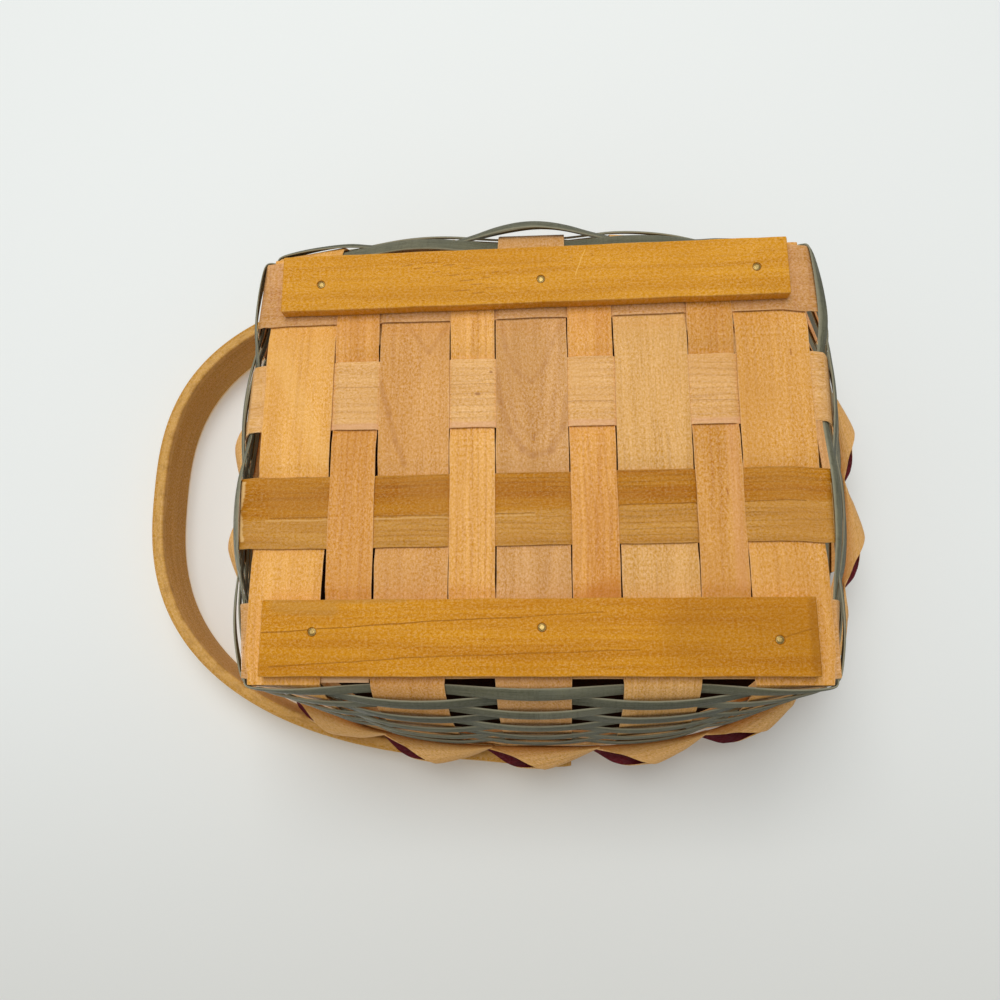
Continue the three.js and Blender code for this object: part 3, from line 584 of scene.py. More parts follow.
# The strips that run the length of the base, from front to rear, with their middles at
# x -120 and +120
endStrips = [
    {"middles": (-83.0, -83.0), "width": 33.6, "pale": (216, 166, 108),
     "deep": (196, 145, 86), "line": (150, 102, 56), "seed": 31},
    {"middles": (-24.2, -25.6), "width": 33.6, "pale": (207, 154, 78),
     "deep": (186, 130, 56), "paleBeyond": (192, 131, 32), "deepBeyond": (169, 105, 12),
     "split": (-0.02, -0.9), "line": (112, 70, 24), "rings": 0.3, "spacing": 2.6, "fibre": 0.4,
     "sparkle": 0.5, "edge": (222, 176, 104), "seed": 32, "tint": (240, 200, 136), "strokes": [
         (-2.4, 120, -2.2, -1, 0.35, 0.45), (0.6, -30, 1.4, -120, 0.35, 0.5),
         (-3.6, 122, -3.2, -1, 0.5, -0.3), (15, 130.6, 2, 131.2, 0.6, -0.8),
         (0, 131.2, -13, 130.4, 0.5, -0.7), (15.5, -131, 11, -132.5, 0.8, -0.8),
         (10, -130.6, -13, -130.8, 0.4, -0.6)]},
    {"middles": (29.8, 30.8), "width": 33.8, "pale": (236, 187, 124),
     "deep": (214, 162, 98), "line": (168, 118, 72), "rings": 0.3, "spacing": 3.1,
     "fibre": 0.4, "chatter": 0.1, "seed": 33, "tint": (228, 174, 134), "strokes": [
         (-0.6, 25.4, -0.6, 24.4, 1.3, 0.9), (10.1, 19.2, 10.2, 18.6, 0.7, 0.8),
         (-15.5, 120, -15.5, -120, 2.2, -0.5), (3.5, 112, 4.5, 12, 0.4, 0.4),
         (-5, -8, -6, -116, 0.4, 0.4)]},
    {"middles": (84.6, 83.8), "width": 34.0, "pale": (218, 167, 112),
     "deep": (194, 143, 86), "line": (168, 106, 68), "chatter": 0.4, "seed": 34},
]
weave = {
    "dip": 7.0, "margin": 0.6, "change": 2.0, "baseStep": 2.0, "wallStep": 2.0,
    "edgeWander": 0.22, "wallWander": 90, "baseWander": 70, "endFade": (14, 2),
    "middlesAt": 56, "endsAt": 120, "fillerHalf": 10.5,
}


# Level of a ribbon, -1 below and 1 above, which is up over the given places
def levelOver(run, places, reach, change):
    inside = sum(1 - smooth(np.abs(run - place), reach, reach + change) for place in places)
    return -1 + 2 * np.clip(inside, 0, 1)


# Places across a ribbon over the base, with both its edges a little uneven
def unevenAcross(shares, run, look):
    left, right = (1 + weave["edgeWander"] / look["width"] * 2
                   * wander(run, look["seed"] + k, weave["baseWander"]) for k in (50, 90))
    return np.where(shares < 0, shares * left[:, None], shares * right[:, None]) * look["width"] / 2


# A splint from rim to rim: down one wall, over the base and up the opposite wall. Way is
# the side of the ribbon's own +X or +Y at the first stake.
def layRibbon(first, second, half, nominal, look, basePoint, way=1):
    width = look["width"]
    shares, heights = stripSection(width / 2, wall["thickness"] / 2)
    w = np.append(np.arange(0, wall["top"] - 1, weave["wallStep"]), wall["top"])
    rows, grain = [], []

    def wallRows(stake, turned, side):
        order = w[::-1] if side < 0 else w
        run = side * (half + order)
        uneven = 1 + wander(run, look["seed"], weave["wallWander"])
        narrow = 1 - weave["edgeWander"] / (width / 2) * uneven
        g = stake + turned * stakeShare * shares[None, :] * narrow[:, None]
        rows.append(offWall(g, order[:, None], heights))
        grain.append(joined(shares * width / 2, run[:, None]))

    wallRows(first, way, -1)
    run = np.arange(-half + weave["baseStep"], half - 1, weave["baseStep"])
    fadeFrom, fadeTo = weave["endFade"]
    ends = smooth(np.abs(run), half - fadeFrom, half - fadeTo)[:, None]
    across = unevenAcross(shares, run, look) * (1 - ends) + ends * shares * nominal / 2
    rows.append(basePoint(run[:, None], across, heights, 1 - ends))
    grain.append(joined(across, run[:, None]))
    wallRows(second, -way, 1)
    return np.concatenate(rows), np.concatenate(grain)


def addRibbon(name, laid, look, node):
    points, grain = laid
    look = {"halfWidth": look["width"] / 2, **look}
    faces = loftFaces(*points.shape[:2], False)
    addPiece(name, points, faces, grain, [woodMaterial(name + "Wood", look)], [node])


def baseZ(level, heights):
    return wall["middle"] + level * wall["lift"] - heights


def leaning(look, run, span):
    first, second = look["middles"]
    return first + (second - first) * (run + span) / (2 * span)


stripReach = wall["stripWidth"] / 2 + weave["margin"]
for c, look in enumerate(wideSplints):
    def splintPoint(run, across, heights, free, look=look, place=columnPlaces[c]):
        middle = place + free * (leaning(look, run, weave["middlesAt"]) - place)
        level = levelOver(run, wall["strips"][1::2], stripReach, weave["dip"])
        level = np.where(run > wall["strips"][3], 1.0, level)
        return joined(middle + across, run, baseZ(level, heights))

    laid = layRibbon(c - 2, 11 - c, wall["baseHalfWidth"], wall["splintWidth"], look, splintPoint)
    addRibbon(f"wideSplint{c + 1}", laid, look, f"wide_splint_{c + 1}")

for s, look in enumerate(endStrips):
    def stripPoint(run, across, heights, free, look=look, place=wall["strips"][s], s=s):
        middle = place + free * (leaning(look, run, weave["endsAt"]) - place)
        reach = wall["pitch"] / 2 - weave["fillerHalf"] - weave["change"] / 2
        overWide = levelOver(run, columnPlaces, reach, weave["change"])
        overWide = np.where(np.abs(run) > columnPlaces[4], 1.0, overWide)
        level = -overWide if s % 2 else overWide
        return joined(run, middle + across, baseZ(level, heights))

    # The ribbon runs from the -X wall to the +X wall, and its first side is -Y
    half, nominal = wall["baseHalfLength"], wall["stripWidth"]
    laid = layRibbon(15 - s, 3 + s, half, nominal, look, stripPoint, -1)
    addRibbon(f"endStrip{s + 1}", laid, look, f"end_strip_{s + 1}")

for c, look in enumerate(fillers):
    shares, heights = stripSection(look["width"] / 2, wall["thickness"] / 2, 7)
    end = wall["baseHalfWidth"] - weave["margin"]
    run = np.append(np.arange(look["short"] - end, end - 1, weave["baseStep"]), end)
    across = unevenAcross(shares, run, look)
    level = levelOver(run, wall["strips"][0::2], stripReach, weave["dip"])
    level = np.where(run < wall["strips"][0], 1.0, level)[:, None]
    run = run[:, None]
    middle = leaning(look, run, weave["middlesAt"])
    laid = joined(middle + across, run, baseZ(level, heights)), joined(across, run)
    addRibbon(f"fillerSplint{c + 1}", laid, {**fillerWood, **look}, f"filler_splint_{c + 1}")
print("splints laid")


# Weavers, the flat reeds that go in and out of the stakes, in millimetres. A row's loops
# are places where it stands off, with their reach in stakes and their height.
weavers = {
    "thickness": 0.8, "width": 7.1, "gap": 0.7, "firstStart": 1.0, "lower": 10, "upper": 2,
    "offset": 1.25, "bow": 0.9, "edgeRise": 0.35, "steps": 24, "soften": 2, "columns": 5,
    "drift": 0.25, "narrow": 0.15, "crownFrom": 0.4,
    "curlMiddle": 86.2, "curlHalf": 7.3, "curlGap": 0.6,
    "colors": [(96, 95, 74), (88, 88, 70), (100, 99, 78), (84, 84, 68), (92, 92, 73)],
    "lighter": 22, "seed": 40,
    # The reeds' pale edge colour is partly wear and partly a painted highlight
    "look": {"line": (52, 52, 42), "edge": (158, 154, 130), "aged": (84, 88, 78), "rings": 0.3,
             "spacing": 1.1, "fibre": 0.7, "fleck": 0.5, "chatter": 0.2, "sparkle": 0.12,
             "edgeReach": 0.8, "edgeAmount": 0.65, "ragged": 0, "speck": 0, "patch": 18.0,
             "patchAmount": 0.3, "bump": 0.5},
    "loops": {0: [(8.0, 0.8, 1.5)], 1: [(9.0, 0.9, 4.5), (3.1, 0.8, 1.5), (15.0, 0.7, 0.5)],
              3: [(9.1, 0.8, 3.0), (8.2, 0.7, 1.5), (3.0, 0.8, 1.0)]},
}
rowPitch = weavers["width"] + weavers["gap"]
upperStart = weavers["curlMiddle"] + weavers["curlHalf"] + weavers["curlGap"]
rowStarts = [weavers["firstStart"] + i * rowPitch for i in range(weavers["lower"])]
rowStarts += [upperStart + i * rowPitch for i in range(weavers["upper"])]


def weaveOffset(g, phase, bow):
    nearest = np.round(g)
    side = np.where((nearest + phase) % 2 == 0, 1.0, -1.0) * weavers["offset"]
    aside = np.abs(g - nearest)
    over = side + np.where(side > 0, bow * (1 - (aside / stakeShare) ** 2), 0)
    share = np.clip((aside - stakeShare) / (1 - 2 * stakeShare), 0, 1)
    return np.where(aside <= stakeShare, over, side * (1 - 2 * share))


def softened(rows, rounds):
    for _ in range(rounds):
        rows = (np.roll(rows, 1, axis=0) + 2 * rows + np.roll(rows, -1, axis=0)) / 4
    return rows


def ringRun(points):
    return walked(np.concatenate([points[:, 0], points[:1, 0]]))[:-1, None]


def wovenBand(fromW, toW, phase, bow, seed, loops=()):
    half = (toW - fromW) / 2
    shares, heights = stripSection(half, weavers["thickness"] / 2, weavers["columns"])
    g = np.arange(stakeCount * weavers["steps"]) / weavers["steps"]
    middle = (fromW + toW) / 2 + weavers["drift"] * wander(g, seed, stakeCount)[:, None]
    w = middle + shares * (half - weavers["narrow"])
    offset = weaveOffset(g, phase, bow)[:, None]
    crown = weavers["edgeRise"] * (1 - shares ** 2) * (offset > weavers["crownFrom"])
    n = offset + crown + heights
    for place, reach, out in loops:
        n = n + out * (1 - smooth(np.abs(g - place), 0, reach))[:, None]
    points = softened(offWall(g[:, None], w, n), weavers["soften"])
    return points, joined(shares * half, ringRun(points))


for r, start in enumerate(rowStarts):
    phase, seed = r if r < weavers["lower"] else r + 1, weavers["seed"] + r
    points, grain = wovenBand(start, start + weavers["width"], phase, weavers["bow"], seed,
                              weavers["loops"].get(r, ()))
    color = weavers["colors"][r % len(weavers["colors"])]
    look = {**weavers["look"], "pale": [c + weavers["lighter"] for c in color], "deep": color,
            "halfWidth": weavers["width"] / 2, "seed": seed}
    addPiece(f"weaverRow{r + 1}", points, loftFaces(*points.shape[:2], True), grain,
             [woodMaterial(f"reed{r + 1}", look)], [f"weaver_row_{r + 1}"])
print("weavers woven")


# Curls: horns that open at their mouths and narrow to pressed tails, in millimetres. Grain
# is how far their wood goes round and where it starts, then along and from horn to horn.
curls = {
    "reach": 11.5, "tailDepth": 0.8, "stripOffset": 2.25, "halfHeight": 7.3, "thickness": 0.8,
    "thinnest": 0.06, "mouthAtWall": 27.0, "mouthAtTip": -5.0, "mouthLean": 4.5,
    "tailEnd": -30.0, "taper": 1.25, "flare": 4.0, "bend": 0.3,
    "alongSteps": 18, "roundSteps": 40, "grain": (7, -22, 50, 57),
    "backingHalf": 6.7, "backingSeed": 55,
    "wood": {"pale": (234, 184, 118), "deep": (214, 162, 94), "line": (140, 92, 46),
             "spacing": 3.0, "fibre": 0.35, "halfWidth": 40, "seed": 51},
    "dye": {"pale": (112, 30, 38), "deep": (78, 18, 26), "line": (44, 8, 14),
            "edge": (96, 26, 32), "aged": (64, 14, 22), "patchAmount": 0.3, "fibre": 0.4,
            "halfWidth": 40, "sparkle": 0.12, "seed": 52},
}


def hornPoint(stake, a, phi, depth):
    k = curls
    taper = 1 - a ** k["taper"]
    outer = k["stripOffset"] + k["tailDepth"] + (k["reach"] - k["tailDepth"]) * taper
    middle = (k["stripOffset"] + outer) / 2
    half = np.maximum((outer - k["stripOffset"]) / 2 - depth, k["thinnest"])
    out, up = np.cos(phi), np.sin(phi)
    rounded = (1 - k["bend"]) * out + k["bend"] * out ** 3
    mouth = (k["mouthAtWall"] + k["mouthAtTip"]) / 2 + k["mouthLean"] * (1 + up) / 2 \
        - (k["mouthAtWall"] - k["mouthAtTip"]) / 2 * rounded
    u = mouth + (k["tailEnd"] - mouth) * a
    w = weavers["curlMiddle"] + (k["halfHeight"] - depth) * up
    flare = k["flare"] * (1 + up) / 2 * (1 - out ** 2) * (1 - a) ** 2
    return offWall(stake + u * stakeCount / rimRound, w, middle + half * out + flare)


# Each horn goes along its outside from mouth to tail and back along its inside
def addCurls():
    points, grain, faces, slots = [], [], [], []
    columns, rows = curls["roundSteps"], 2 * curls["alongSteps"]
    around, start, along, step = curls["grain"]
    a = np.linspace(0, 1, curls["alongSteps"])[:, None]
    phi = (np.arange(columns) * 2 * math.pi / columns)[None, :]
    for stake in range(stakeCount):
        for depth, order in ((0, 1), (curls["thickness"], -1)):
            points.append(hornPoint(stake, a[::order], phi, depth).reshape(-1, 3))
            grain.append(joined(phi * around + start, a[::order] * along + stake * step)
                         .reshape(-1, 2))
        made = loftFaces(rows, columns, True, stake * rows * columns)
        faces += made
        slots += [int(rows // 2 <= i // columns < rows - 1) for i in range(len(made))]
    materials = [woodMaterial("curlWood", curls["wood"]), woodMaterial("curlDye", curls["dye"])]
    addPiece("curlStrip", np.concatenate(points), faces, np.concatenate(grain), materials,
             ["curl_strip"], sharp=60, slots=slots)


def addBacking():
    middle, half, seed = weavers["curlMiddle"], curls["backingHalf"], curls["backingSeed"]
    points, grain = wovenBand(middle - half, middle + half, weavers["lower"], 0, seed)
    look = {**curls["wood"], "halfWidth": half, "seed": seed + 1}
    addPiece("curlBacking", points, loftFaces(*points.shape[:2], True), grain,
             [woodMaterial("backingWood", look)], ["curl_backing_weaver"])


addCurls()
addBacking()
print("curls made")


# Hoops of the rim
hoops = {
    "height": 22.0, "inner": 0.7, "outer": 3.7, "round": 1.1, "steps": 14, "soften": 3,
    "look": {"pale": (212, 164, 100), "deep": (196, 146, 82), "line": (150, 102, 54),
             "rings": 0.5, "spacing": 4.5, "fibre": 0.35, "halfWidth": 11, "patch": 60},
}


def roundedBox(lowX, highX, lowY, highY, radius, steps=4):
    corners = ((highX - radius, highY - radius, 0), (lowX + radius, highY - radius, 90),
               (lowX + radius, lowY + radius, 180), (highX - radius, lowY + radius, 270))
    return np.array([(x + radius * math.cos(math.radians(start + 90 * k / steps)),
                      y + radius * math.sin(math.radians(start + 90 * k / steps)))
                     for x, y, start in corners for k in range(steps + 1)])


def addHoop(name, node, way, seed):
    low, high = wall["hoopStart"], wall["hoopStart"] + hoops["height"]
    section = roundedBox(low, high, hoops["inner"], hoops["outer"], hoops["round"])
    g = (np.arange(stakeCount * hoops["steps"]) / hoops["steps"])[:, None]
    points = softened(offWall(g, section[:, 0], way * section[:, 1]), hoops["soften"])
    grain = joined(section[:, 0] - (low + high) / 2, ringRun(points))
    addPiece(name, points, loftFaces(*points.shape[:2], True), grain,
             [woodMaterial(name + "Wood", {**hoops["look"], "seed": seed})], [node])


addHoop("outerHoop", "outer_rim_hoop", 1, 61)
addHoop("innerHoop", "inner_rim_hoop", -1, 62)
print("hoops bent")


# Runners under the base, each with seats for its nails. The rear one's many small marks
# are written by their places and lengths.
runners = {
    "length": 238.0, "thickness": 6.4, "gap": 0.3, "soft": 0.5, "endSoft": 0.35,
    "seatRadius": 2.15, "seatDepth": 0.6, "edgeWander": 0.18, "wanders": (60, 47),
    "steps": 120, "seatSides": 40, "sideGrain": 0.35,
    "wood": {"gloss": 0.1, "edgeReach": 0.6, "sparkle": 0.65},
    "front": {"place": -82.5, "width": 33.0, "skew": 0.0,
              "nails": [(96, -80), (-4, -78.5), (-103, -84)],
              "pale": (212, 148, 38), "deep": (189, 124, 18), "line": (134, 80, 14),
              "rings": 0.12, "spacing": 5.0, "tint": (176, 132, 70), "edge": (226, 178, 96),
              "seed": 71, "strokes": [
                  (2.1, 118, 6.6, 48, 0.45, 0.6), (6.6, 48, 8.5, 5, 0.45, 0.6),
                  (8.5, 5, 10.5, -30, 0.4, 0.4), (-12.4, 114, -8.3, 48, 0.5, 0.5),
                  (-8.3, 48, -5.5, -45, 0.45, 0.45), (14, 112, 12, 88, 5.0, -0.35),
                  (16, 90, 16, 56, 1.8, -0.3), (-14, -118, 14, -118, 4.0, 0.35),
                  (-2, -100, 3, -116, 0.5, 0.4), (1, -70, -1, -112, 24.0, 0.25)]},
    "rear": {"place": 86.0, "width": 28.5, "skew": -0.35,
             "nails": [(100, 84.5), (-5, 83.5), (-104.5, 86)],
             "pale": (220, 158, 56), "deep": (200, 137, 36), "line": (150, 92, 28),
             "rings": 0.15, "spacing": 6.0, "fleck": 0.7, "tint": (240, 190, 104),
             "edge": (232, 184, 104), "seed": 72, "strokes": [
                 (11.5, -25.9, -1.1, -21, 0.35, -0.6),
                 *[(x, y, x + 0.4, y - size, 0.4, 0.5) for x, y, size in (
                     (7, 61, 5), (5.5, 55, 4), (8, 50, 6), (3, 46, 3), (6.5, 41, 5), (1, 38, 4),
                     (-2, 33, 6), (4, 31, 3), (-4, 28, 5), (-7, 36, 7), (-8.5, 27, 5),
                     (-1, 23, 4), (-6, 21, 5), (2, 18, 3))]]},
}
# A nail's head is given as shares of its radius and heights, from its middle outwards
nails = {
    "headRadius": 1.85, "headHeight": 0.7, "shankRadius": 0.9, "clinch": 0.5, "point": 0.9,
    "dish": 0.16, "sides": 32,
    "head": [(0.45, 0.13), (0.66, 0.18), (0.72, 0.3), (0.79, 0.3), (0.84, 0.16), (0.95, 0.2),
             (1, 0.34)],
    "pale": (206, 178, 112), "deep": (176, 146, 82), "speck": (92, 74, 38), "seed": 5.0,
}
# Turned pieces close at this radius, just off their axis
tiny = 0.02


def turned(profile, sides, looped=False):
    angle = np.arange(sides) * 2 * math.pi / sides
    points = [(r * math.cos(t), r * math.sin(t), z) for r, z in profile for t in angle]
    grain = [(t * 4, z * 4 + r * 4) for r, z in profile for t in angle]
    return np.array(points), loftFaces(len(profile), sides, looped), np.array(grain)


def carve(piece, cutters):
    for cutter in cutters:
        modifier = piece.modifiers.new("seat", "BOOLEAN")
        modifier.object = cutter
        modifier.operation = "DIFFERENCE"
        modifier.solver = "EXACT"
    shaped = piece.evaluated_get(bpy.context.evaluated_depsgraph_get())
    shaped = bpy.data.meshes.new_from_object(shaped)
    piece.modifiers.clear()
    piece.data = shaped
    for cutter in cutters:
        bpy.data.objects.remove(cutter)


def seatCutter(x, y, z):
    radius = runners["seatRadius"]
    points, faces, _ = turned([(radius, -2), (radius, runners["seatDepth"])], runners["seatSides"])
    mesh = bpy.data.meshes.new("seat")
    mesh.from_pydata(((points + (x, y, z)) * mm).tolist(), [], faces)
    if turnsIn(points, faces):
        mesh.flip_normals()
    return addObject("seat", mesh)


def addRunner(name, node, look):
    half, width, high = runners["length"] / 2, look["width"], runners["thickness"]
    soft, seed = runners["endSoft"], look["seed"]
    inner = np.linspace(-half + 1, half - 1, runners["steps"])
    run = np.concatenate([[-half, -half + soft], inner, [half - soft, half]])
    section = roundedBox(-width / 2, width / 2, -high / 2, high / 2, runners["soft"], 3)
    past = np.clip((np.abs(run) - half + soft + 0.01) / soft, 0, 1)[:, None]
    shrink = 1 - soft * past / (high / 2)
    across = section[:, 0] * (1 - (1 - shrink) * high / width)
    first, second = runners["wanders"]
    uneven = np.where(section[:, 0] < 0, wander(run, seed, first)[:, None],
                      wander(run, seed + 3, second)[:, None])
    across = across + np.sign(section[:, 0]) * runners["edgeWander"] * uneven
    up = section[:, 1] * shrink
    lean = math.radians(look["skew"])
    x = run[:, None] * math.cos(lean) - across * math.sin(lean)
    y = look["place"] + run[:, None] * math.sin(lean) + across * math.cos(lean)
    points = joined(x, y, up - high / 2 - runners["gap"])
    grain = joined(across + (up + high / 2) * runners["sideGrain"], run[:, None])
    wood = woodMaterial(name + "Wood", {**look, "halfWidth": width / 2, **runners["wood"]})
    piece = addPiece(name, points, loftFaces(*points.shape[:2], False), grain, [wood], [node])
    under = -high - runners["gap"]
    carve(piece, [seatCutter(nailX, nailY, under) for nailX, nailY in look["nails"]])
    piece.data.set_sharp_from_angle(angle=math.radians(sharpFrom))


def makeBrass():
    material, tree, shader = startMaterial("brass")
    age = useGroup(tree, patina, {"Seed": nails["seed"], "Patch Size": 1.6})
    color = mixed(age["Patch"], tone(*nails["pale"]), tone(*nails["deep"]))
    specks = times(age["Speck"], 0.5)
    color = mixed(specks, color, tone(*nails["speck"]))
    rough = timesPlus(age["Patch"], 0.22, 0.3)
    dress(shader, color, rough, age["Patch"], 0.12, 0.0003)
    shader.inputs["Metallic"].default_value = 0.75
    return material


brass = makeBrass()


def addNail(name, node, x, y):
    radius, high, shank = nails["headRadius"], nails["headHeight"], nails["shankRadius"]
    end = runners["thickness"] + 2 * wall["middle"] + nails["clinch"]
    profile = [(tiny, nails["dish"]), *[(share * radius, z) for share, z in nails["head"]],
               (radius, high), (shank, high + 0.05), (shank, end - nails["point"]),
               (shank * 0.5, end), (tiny, end)]
    points, faces, grain = turned(profile, nails["sides"])
    place = (x, y, -runners["thickness"] - runners["gap"])
    addPiece(name, points + place, faces, grain, [brass], [node], sharp=50)


for side in ("front", "rear"):
    addRunner(side + "Runner", side + "_runner", runners[side])
    for k, (x, y) in enumerate(runners[side]["nails"]):
        addNail(f"{side}Nail{k + 1}", f"{side}_runner_nail_{k + 1}", x, y)
print("runners nailed")


# The bentwood handle, with rounded tails past its rivets. Its front arm is splayed outwards.
handle = {
    "pivotX": 5.0, "pivotZ": 110.78, "reach": 225.0, "halfSpan": 140.9, "power": 2.6,
    "skew": 9.0, "width": 31.8, "thickness": 6.5, "edge": 1.3, "straight": 6.0, "tail": 16.0,
    "tailRound": (1.0, 0.985, 0.94, 0.86, 0.74, 0.6, 0.42, 0.22, 0.0), "tailHigh": 3.0,
    "steps": 220, "splay": 2.8, "splayRun": (-16, 40), "play": 0.3,
    "look": {"pale": (208, 160, 86), "deep": (189, 139, 62), "line": (150, 104, 44),
             "edge": (226, 182, 112), "spacing": 5.0, "halfWidth": 15, "seed": 81},
    "rivetRadius": 5.6, "rivetHeight": 2.2, "rivetEdge": 0.15, "shank": 2.4,
    "burrRadius": 4.6, "burrHeight": 1.2, "washerRadius": 8.0, "washerThickness": 0.6, "sides": 40,
}


def splayAt(x):
    return handle["splay"] * (1 - smooth(x, *handle["splayRun"]))


def addHandle():
    k = handle
    half, reach = k["halfSpan"] - k["thickness"] / 2, k["reach"] - k["thickness"] / 2
    t = -math.pi / 2 * np.cos(np.linspace(0, math.pi, k["steps"] + 1))[1:-1]
    forward = squared(np.cos(t), k["power"])
    bow = joined(reach * forward, half * squared(np.sin(t), k["power"]) + k["skew"] * forward ** 2)
    cap = k["width"] / 2 - k["tail"]
    tailX = cap - k["width"] / 2 * np.array(k["tailRound"])
    front, rear = (joined(tailX, y) for y in (-half, half))
    arm = [(k["pivotX"] + k["straight"] / 2, half), (k["pivotX"] + k["straight"], half)]
    bow = bow[bow[:, 0] > k["pivotX"] + k["straight"] + 4]
    path = np.concatenate([front, [(x, -y) for x, y in arm], bow, arm[::-1], rear[::-1]])
    path[:, 1] -= np.where(path[:, 1] < 0, splayAt(path[:, 0]), 0)
    step = np.gradient(path, axis=0)
    step /= np.linalg.norm(step, axis=1, keepdims=True)
    out = joined(step[:, 1], -step[:, 0])
    past = np.maximum(cap - path[:, 0], 0)
    high = np.sqrt(np.maximum((k["width"] / 2) ** 2 - past ** 2, k["tailHigh"] ** 2))
    section = roundedBox(-1, 1, -1, 1, tiny)
    corner = roundedBox(-k["edge"], k["edge"], -k["edge"], k["edge"], k["edge"])
    n = np.sign(section[:, 0]) * (k["thickness"] / 2 - k["edge"]) + corner[:, 0]
    z = np.sign(section[:, 1])[None, :] * (high[:, None] - k["edge"]) + corner[:, 1]
    x, y = (path[:, i:i + 1] + out[:, i:i + 1] * n for i in (0, 1))
    points, grain = joined(x, y, k["pivotZ"] + z), joined(z + n, walked(path)[:, None])
    addPiece("swingHandle", points, loftFaces(*points.shape[:2], False), grain,
             [woodMaterial("handleWood", k["look"])], ["swing_handle"], body="handle")


def addPivot(end, side):
    k = handle
    splay, splayBeside = (splayAt(k["pivotX"] + away) if side < 0 else 0
                          for away in (0, k["washerRadius"]))
    under = k["halfSpan"] + splay + k["play"]
    burr = wall["rimHalfWidth"] - hoops["outer"] - k["play"]
    rise = k["rivetHeight"] - k["rivetEdge"]
    rivet = [(tiny, burr - k["burrHeight"]), (k["burrRadius"] * 0.8, burr - k["burrHeight"]),
             (k["burrRadius"], burr - k["burrHeight"] / 2), (k["burrRadius"], burr),
             (k["shank"], burr), (k["shank"], under), (k["rivetRadius"], under)]
    rivet += [(k["rivetRadius"] * math.cos(t), under + k["rivetEdge"] + rise * math.sin(t))
              for t in np.linspace(0, 1.5, 9)]
    rivet.append((tiny, under + k["rivetHeight"]))
    start = wall["rimHalfWidth"] + hoops["outer"] + k["play"]
    top, hole = start + k["washerThickness"] + splayBeside, k["shank"] + k["play"]
    washer = [(hole, start), (k["washerRadius"], start), (k["washerRadius"], top), (hole, top)]
    for name, profile, looped in (("Rivet", rivet, False), ("Washer", washer, True)):
        points, faces, grain = turned(profile, k["sides"], looped)
        x, z, y = points.T
        points = joined(k["pivotX"] + x, side * y, k["pivotZ"] + z)
        addPiece(end + name, points, faces, grain, [brass], [f"{end}_pivot_{name.lower()}"],
                 sharp=50)


addHandle()
addPivot("front", -1)
addPivot("rear", 1)
print("handle hung")


# Floor under the basket for views from above, and a pale sheet over the rim for views
# from below. Each shows only from its own side and fades out far away, and neither holds
# light off the basket. The sheet shows only where it is seen steeply, so that it isn't a
# ceiling in views from the side. The sheet is painted darker towards the front as painted
# shade, and a dark oval painted on it inside the rim's outline is painted shade for the
# basket's shadowed inside where it shows through gaps in the weave. The shade is a shadow
# painted on the floor, the dark place under the base.
stage = {
    "floorZ": -0.0069, "sheetZ": 0.1275, "size": 4.0, "fade": (1.7, 0.7), "slant": (0.54, 0.46),
    "floor": (236, 237, 237), "floorPatches": (229, 230, 230),
    "shade": (84, 82, 80), "shadeInset": 16, "shadeReach": 0.055,
    "sheetFar": (236, 240, 239), "sheetNear": (217, 218, 214), "sheetRun": (-0.38, 0.0),
    "hollowShade": (30, 18, 14), "hollowLength": 0.1555, "hollowWidth": 0.128,
    "ambient": 0.45, "backdrop": 0.87,
}


def stageMaterial(name, makeColor, steepOnly=False):
    material, tree, shader = startMaterial(name)
    shader.inputs["Roughness"].default_value = 0.9
    shader.inputs["Specular IOR Level"].default_value = 0.1
    place = addNode(tree, "TexCoord").outputs["Object"]
    tree.links.new(makeColor(place), shader.inputs["Base Color"])
    ray = addNode(tree, "LightPath").outputs
    seen = calc("MAXIMUM", ray["Is Camera Ray"], ray["Is Glossy Ray"])
    front = minus(1, addNode(tree, "NewGeometry").outputs["Backfacing"])
    far = follow("VectorMath", {0: place}, operation="LENGTH")["Value"]
    near = times(front, ramp(far, *stage["fade"]))
    if steepOnly:
        facing = addNode(tree, "LayerWeight", {"Blend": 0.5}).outputs["Facing"]
        near = times(near, ramp(facing, *stage["slant"]))
    clear = addNode(tree, "BsdfTransparent")
    share = times(seen, near)
    shown = addNode(tree, "MixShader", {0: share, 1: clear.outputs[0], 2: shader.outputs[0]})
    tree.links.new(shown.outputs[0], tree.nodes["Material Output"].inputs["Surface"])
    return material


def floorColor(place):
    parts = axes(place)
    patches = noise(place, 3, 2)
    color = mixed(patches, tone(*stage["floor"]), tone(*stage["floorPatches"]))
    # Painted shadow: the floor goes to the dark shade colour under the base and fades out past its
    # edges
    squares = []
    for axis, half in (("X", wall["baseHalfLength"]), ("Y", wall["baseHalfWidth"])):
        aside, edge = calc("ABSOLUTE", parts[axis]), (half - stage["shadeInset"]) * mm
        past = calc("MAXIMUM", minus(aside, edge), 0)
        squares.append(times(past, past))
    outside = calc("SQRT", calc("ADD", *squares))
    lit = ramp(outside, 0, stage["shadeReach"])
    return mixed(lit, tone(*stage["shade"]), color)


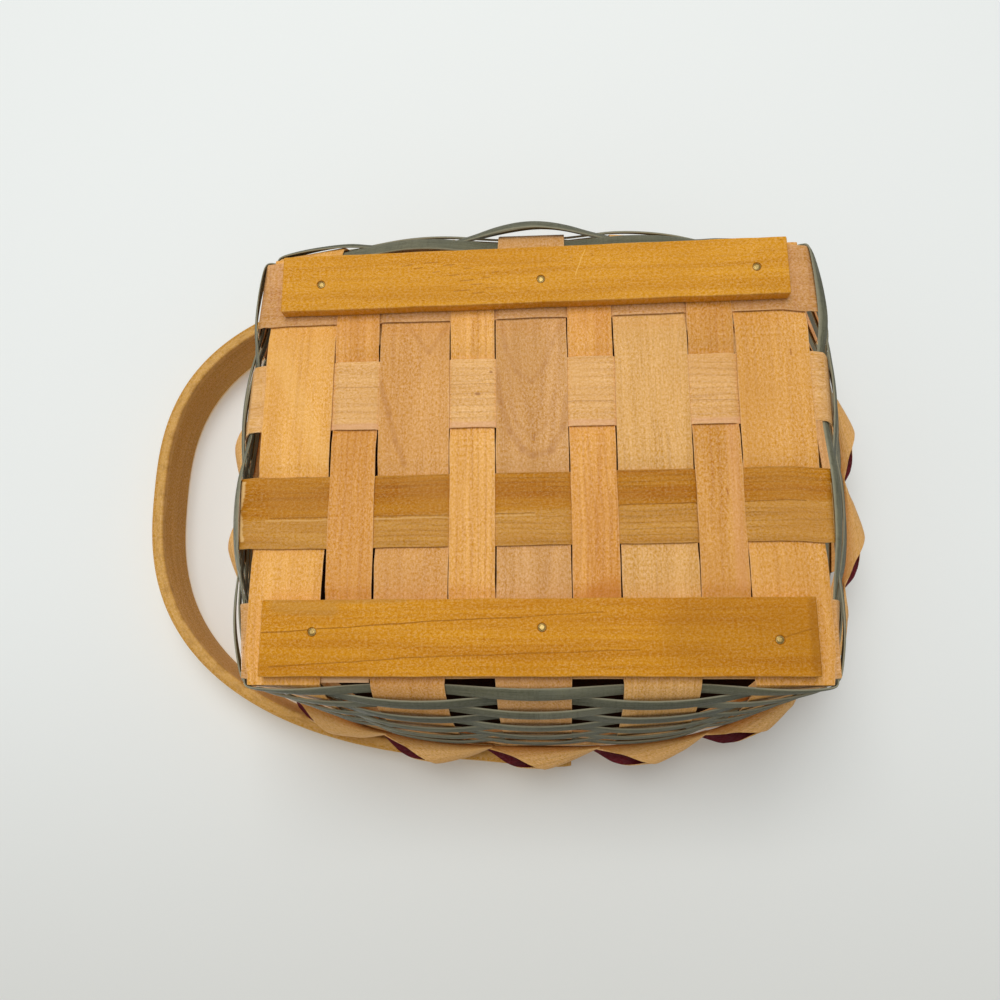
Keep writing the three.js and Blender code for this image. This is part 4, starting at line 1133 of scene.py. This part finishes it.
def sheetColor(place):
    parts = axes(place)
    # Painted shade: the sheet is darker towards the front and paler towards the rear
    back = ramp(parts["Y"], *stage["sheetRun"])
    color = mixed(back, tone(*stage["sheetNear"]), tone(*stage["sheetFar"]))
    # Painted shade: the sheet is dark inside the rim's outline, for the shaded inside of the basket
    powers = []
    for axis, half in (("X", stage["hollowLength"]), ("Y", stage["hollowWidth"])):
        share = calc("ABSOLUTE", calc("DIVIDE", parts[axis], half))
        powers.append(calc("POWER", share, wall["rimPower"]))
    outside = ramp(calc("ADD", *powers), 0.97, 1.0)
    return mixed(outside, tone(*stage["hollowShade"]), color)


def addStage(name, height, up, material):
    size = stage["size"]
    corners = [(x * size, y * size, height) for x, y in ((-1, -1), (1, -1), (1, 1), (-1, 1))]
    mesh = bpy.data.meshes.new(name)
    mesh.from_pydata(corners, [], [(0, 1, 2, 3) if up else (3, 2, 1, 0)])
    mesh.materials.append(material)
    plane = addObject(name, mesh)


addStage("floor", stage["floorZ"], True, stageMaterial("floorPaper", floorColor))
addStage("sheet", stage["sheetZ"], False, stageMaterial("sheetPaper", sheetColor, True))

world = bpy.data.worlds.new("studio")
world.use_nodes = True
scene.world = world
sky = world.node_tree
ray = addNode(sky, "LightPath").outputs
plain = calc("MAXIMUM", ray["Is Camera Ray"], ray["Is Glossy Ray"])
plain = calc("MAXIMUM", plain, ray["Is Transmission Ray"])
strength = addNode(sky, "Mix", {0: plain, 2: stage["ambient"], 3: stage["backdrop"]})
sky.nodes["Background"].inputs["Color"].default_value = (1, 1, 1, 1)
sky.links.new(strength.outputs[0], sky.nodes["Background"].inputs["Strength"])

lamps = {
    "below": {"place": (0.12, 0.5, -1.7), "size": 1.1, "power": 21.5},
    "above": {"place": (1.3, -0.35, 1.3), "size": 1.2, "power": 28.0},
}
lampColor, lampAim = (1, 0.99, 0.97), Vector((0, 0, 0.03))
for name, lamp in lamps.items():
    light = bpy.data.lights.new(name, "AREA")
    light.size = lamp["size"]
    light.energy = lamp["power"]
    light.color = lampColor
    holder = addObject(name, light)
    holder.location = lamp["place"]
    aim = lampAim - holder.location
    holder.rotation_euler = aim.to_track_quat("-Z", "Y").to_euler()
print("stage set")
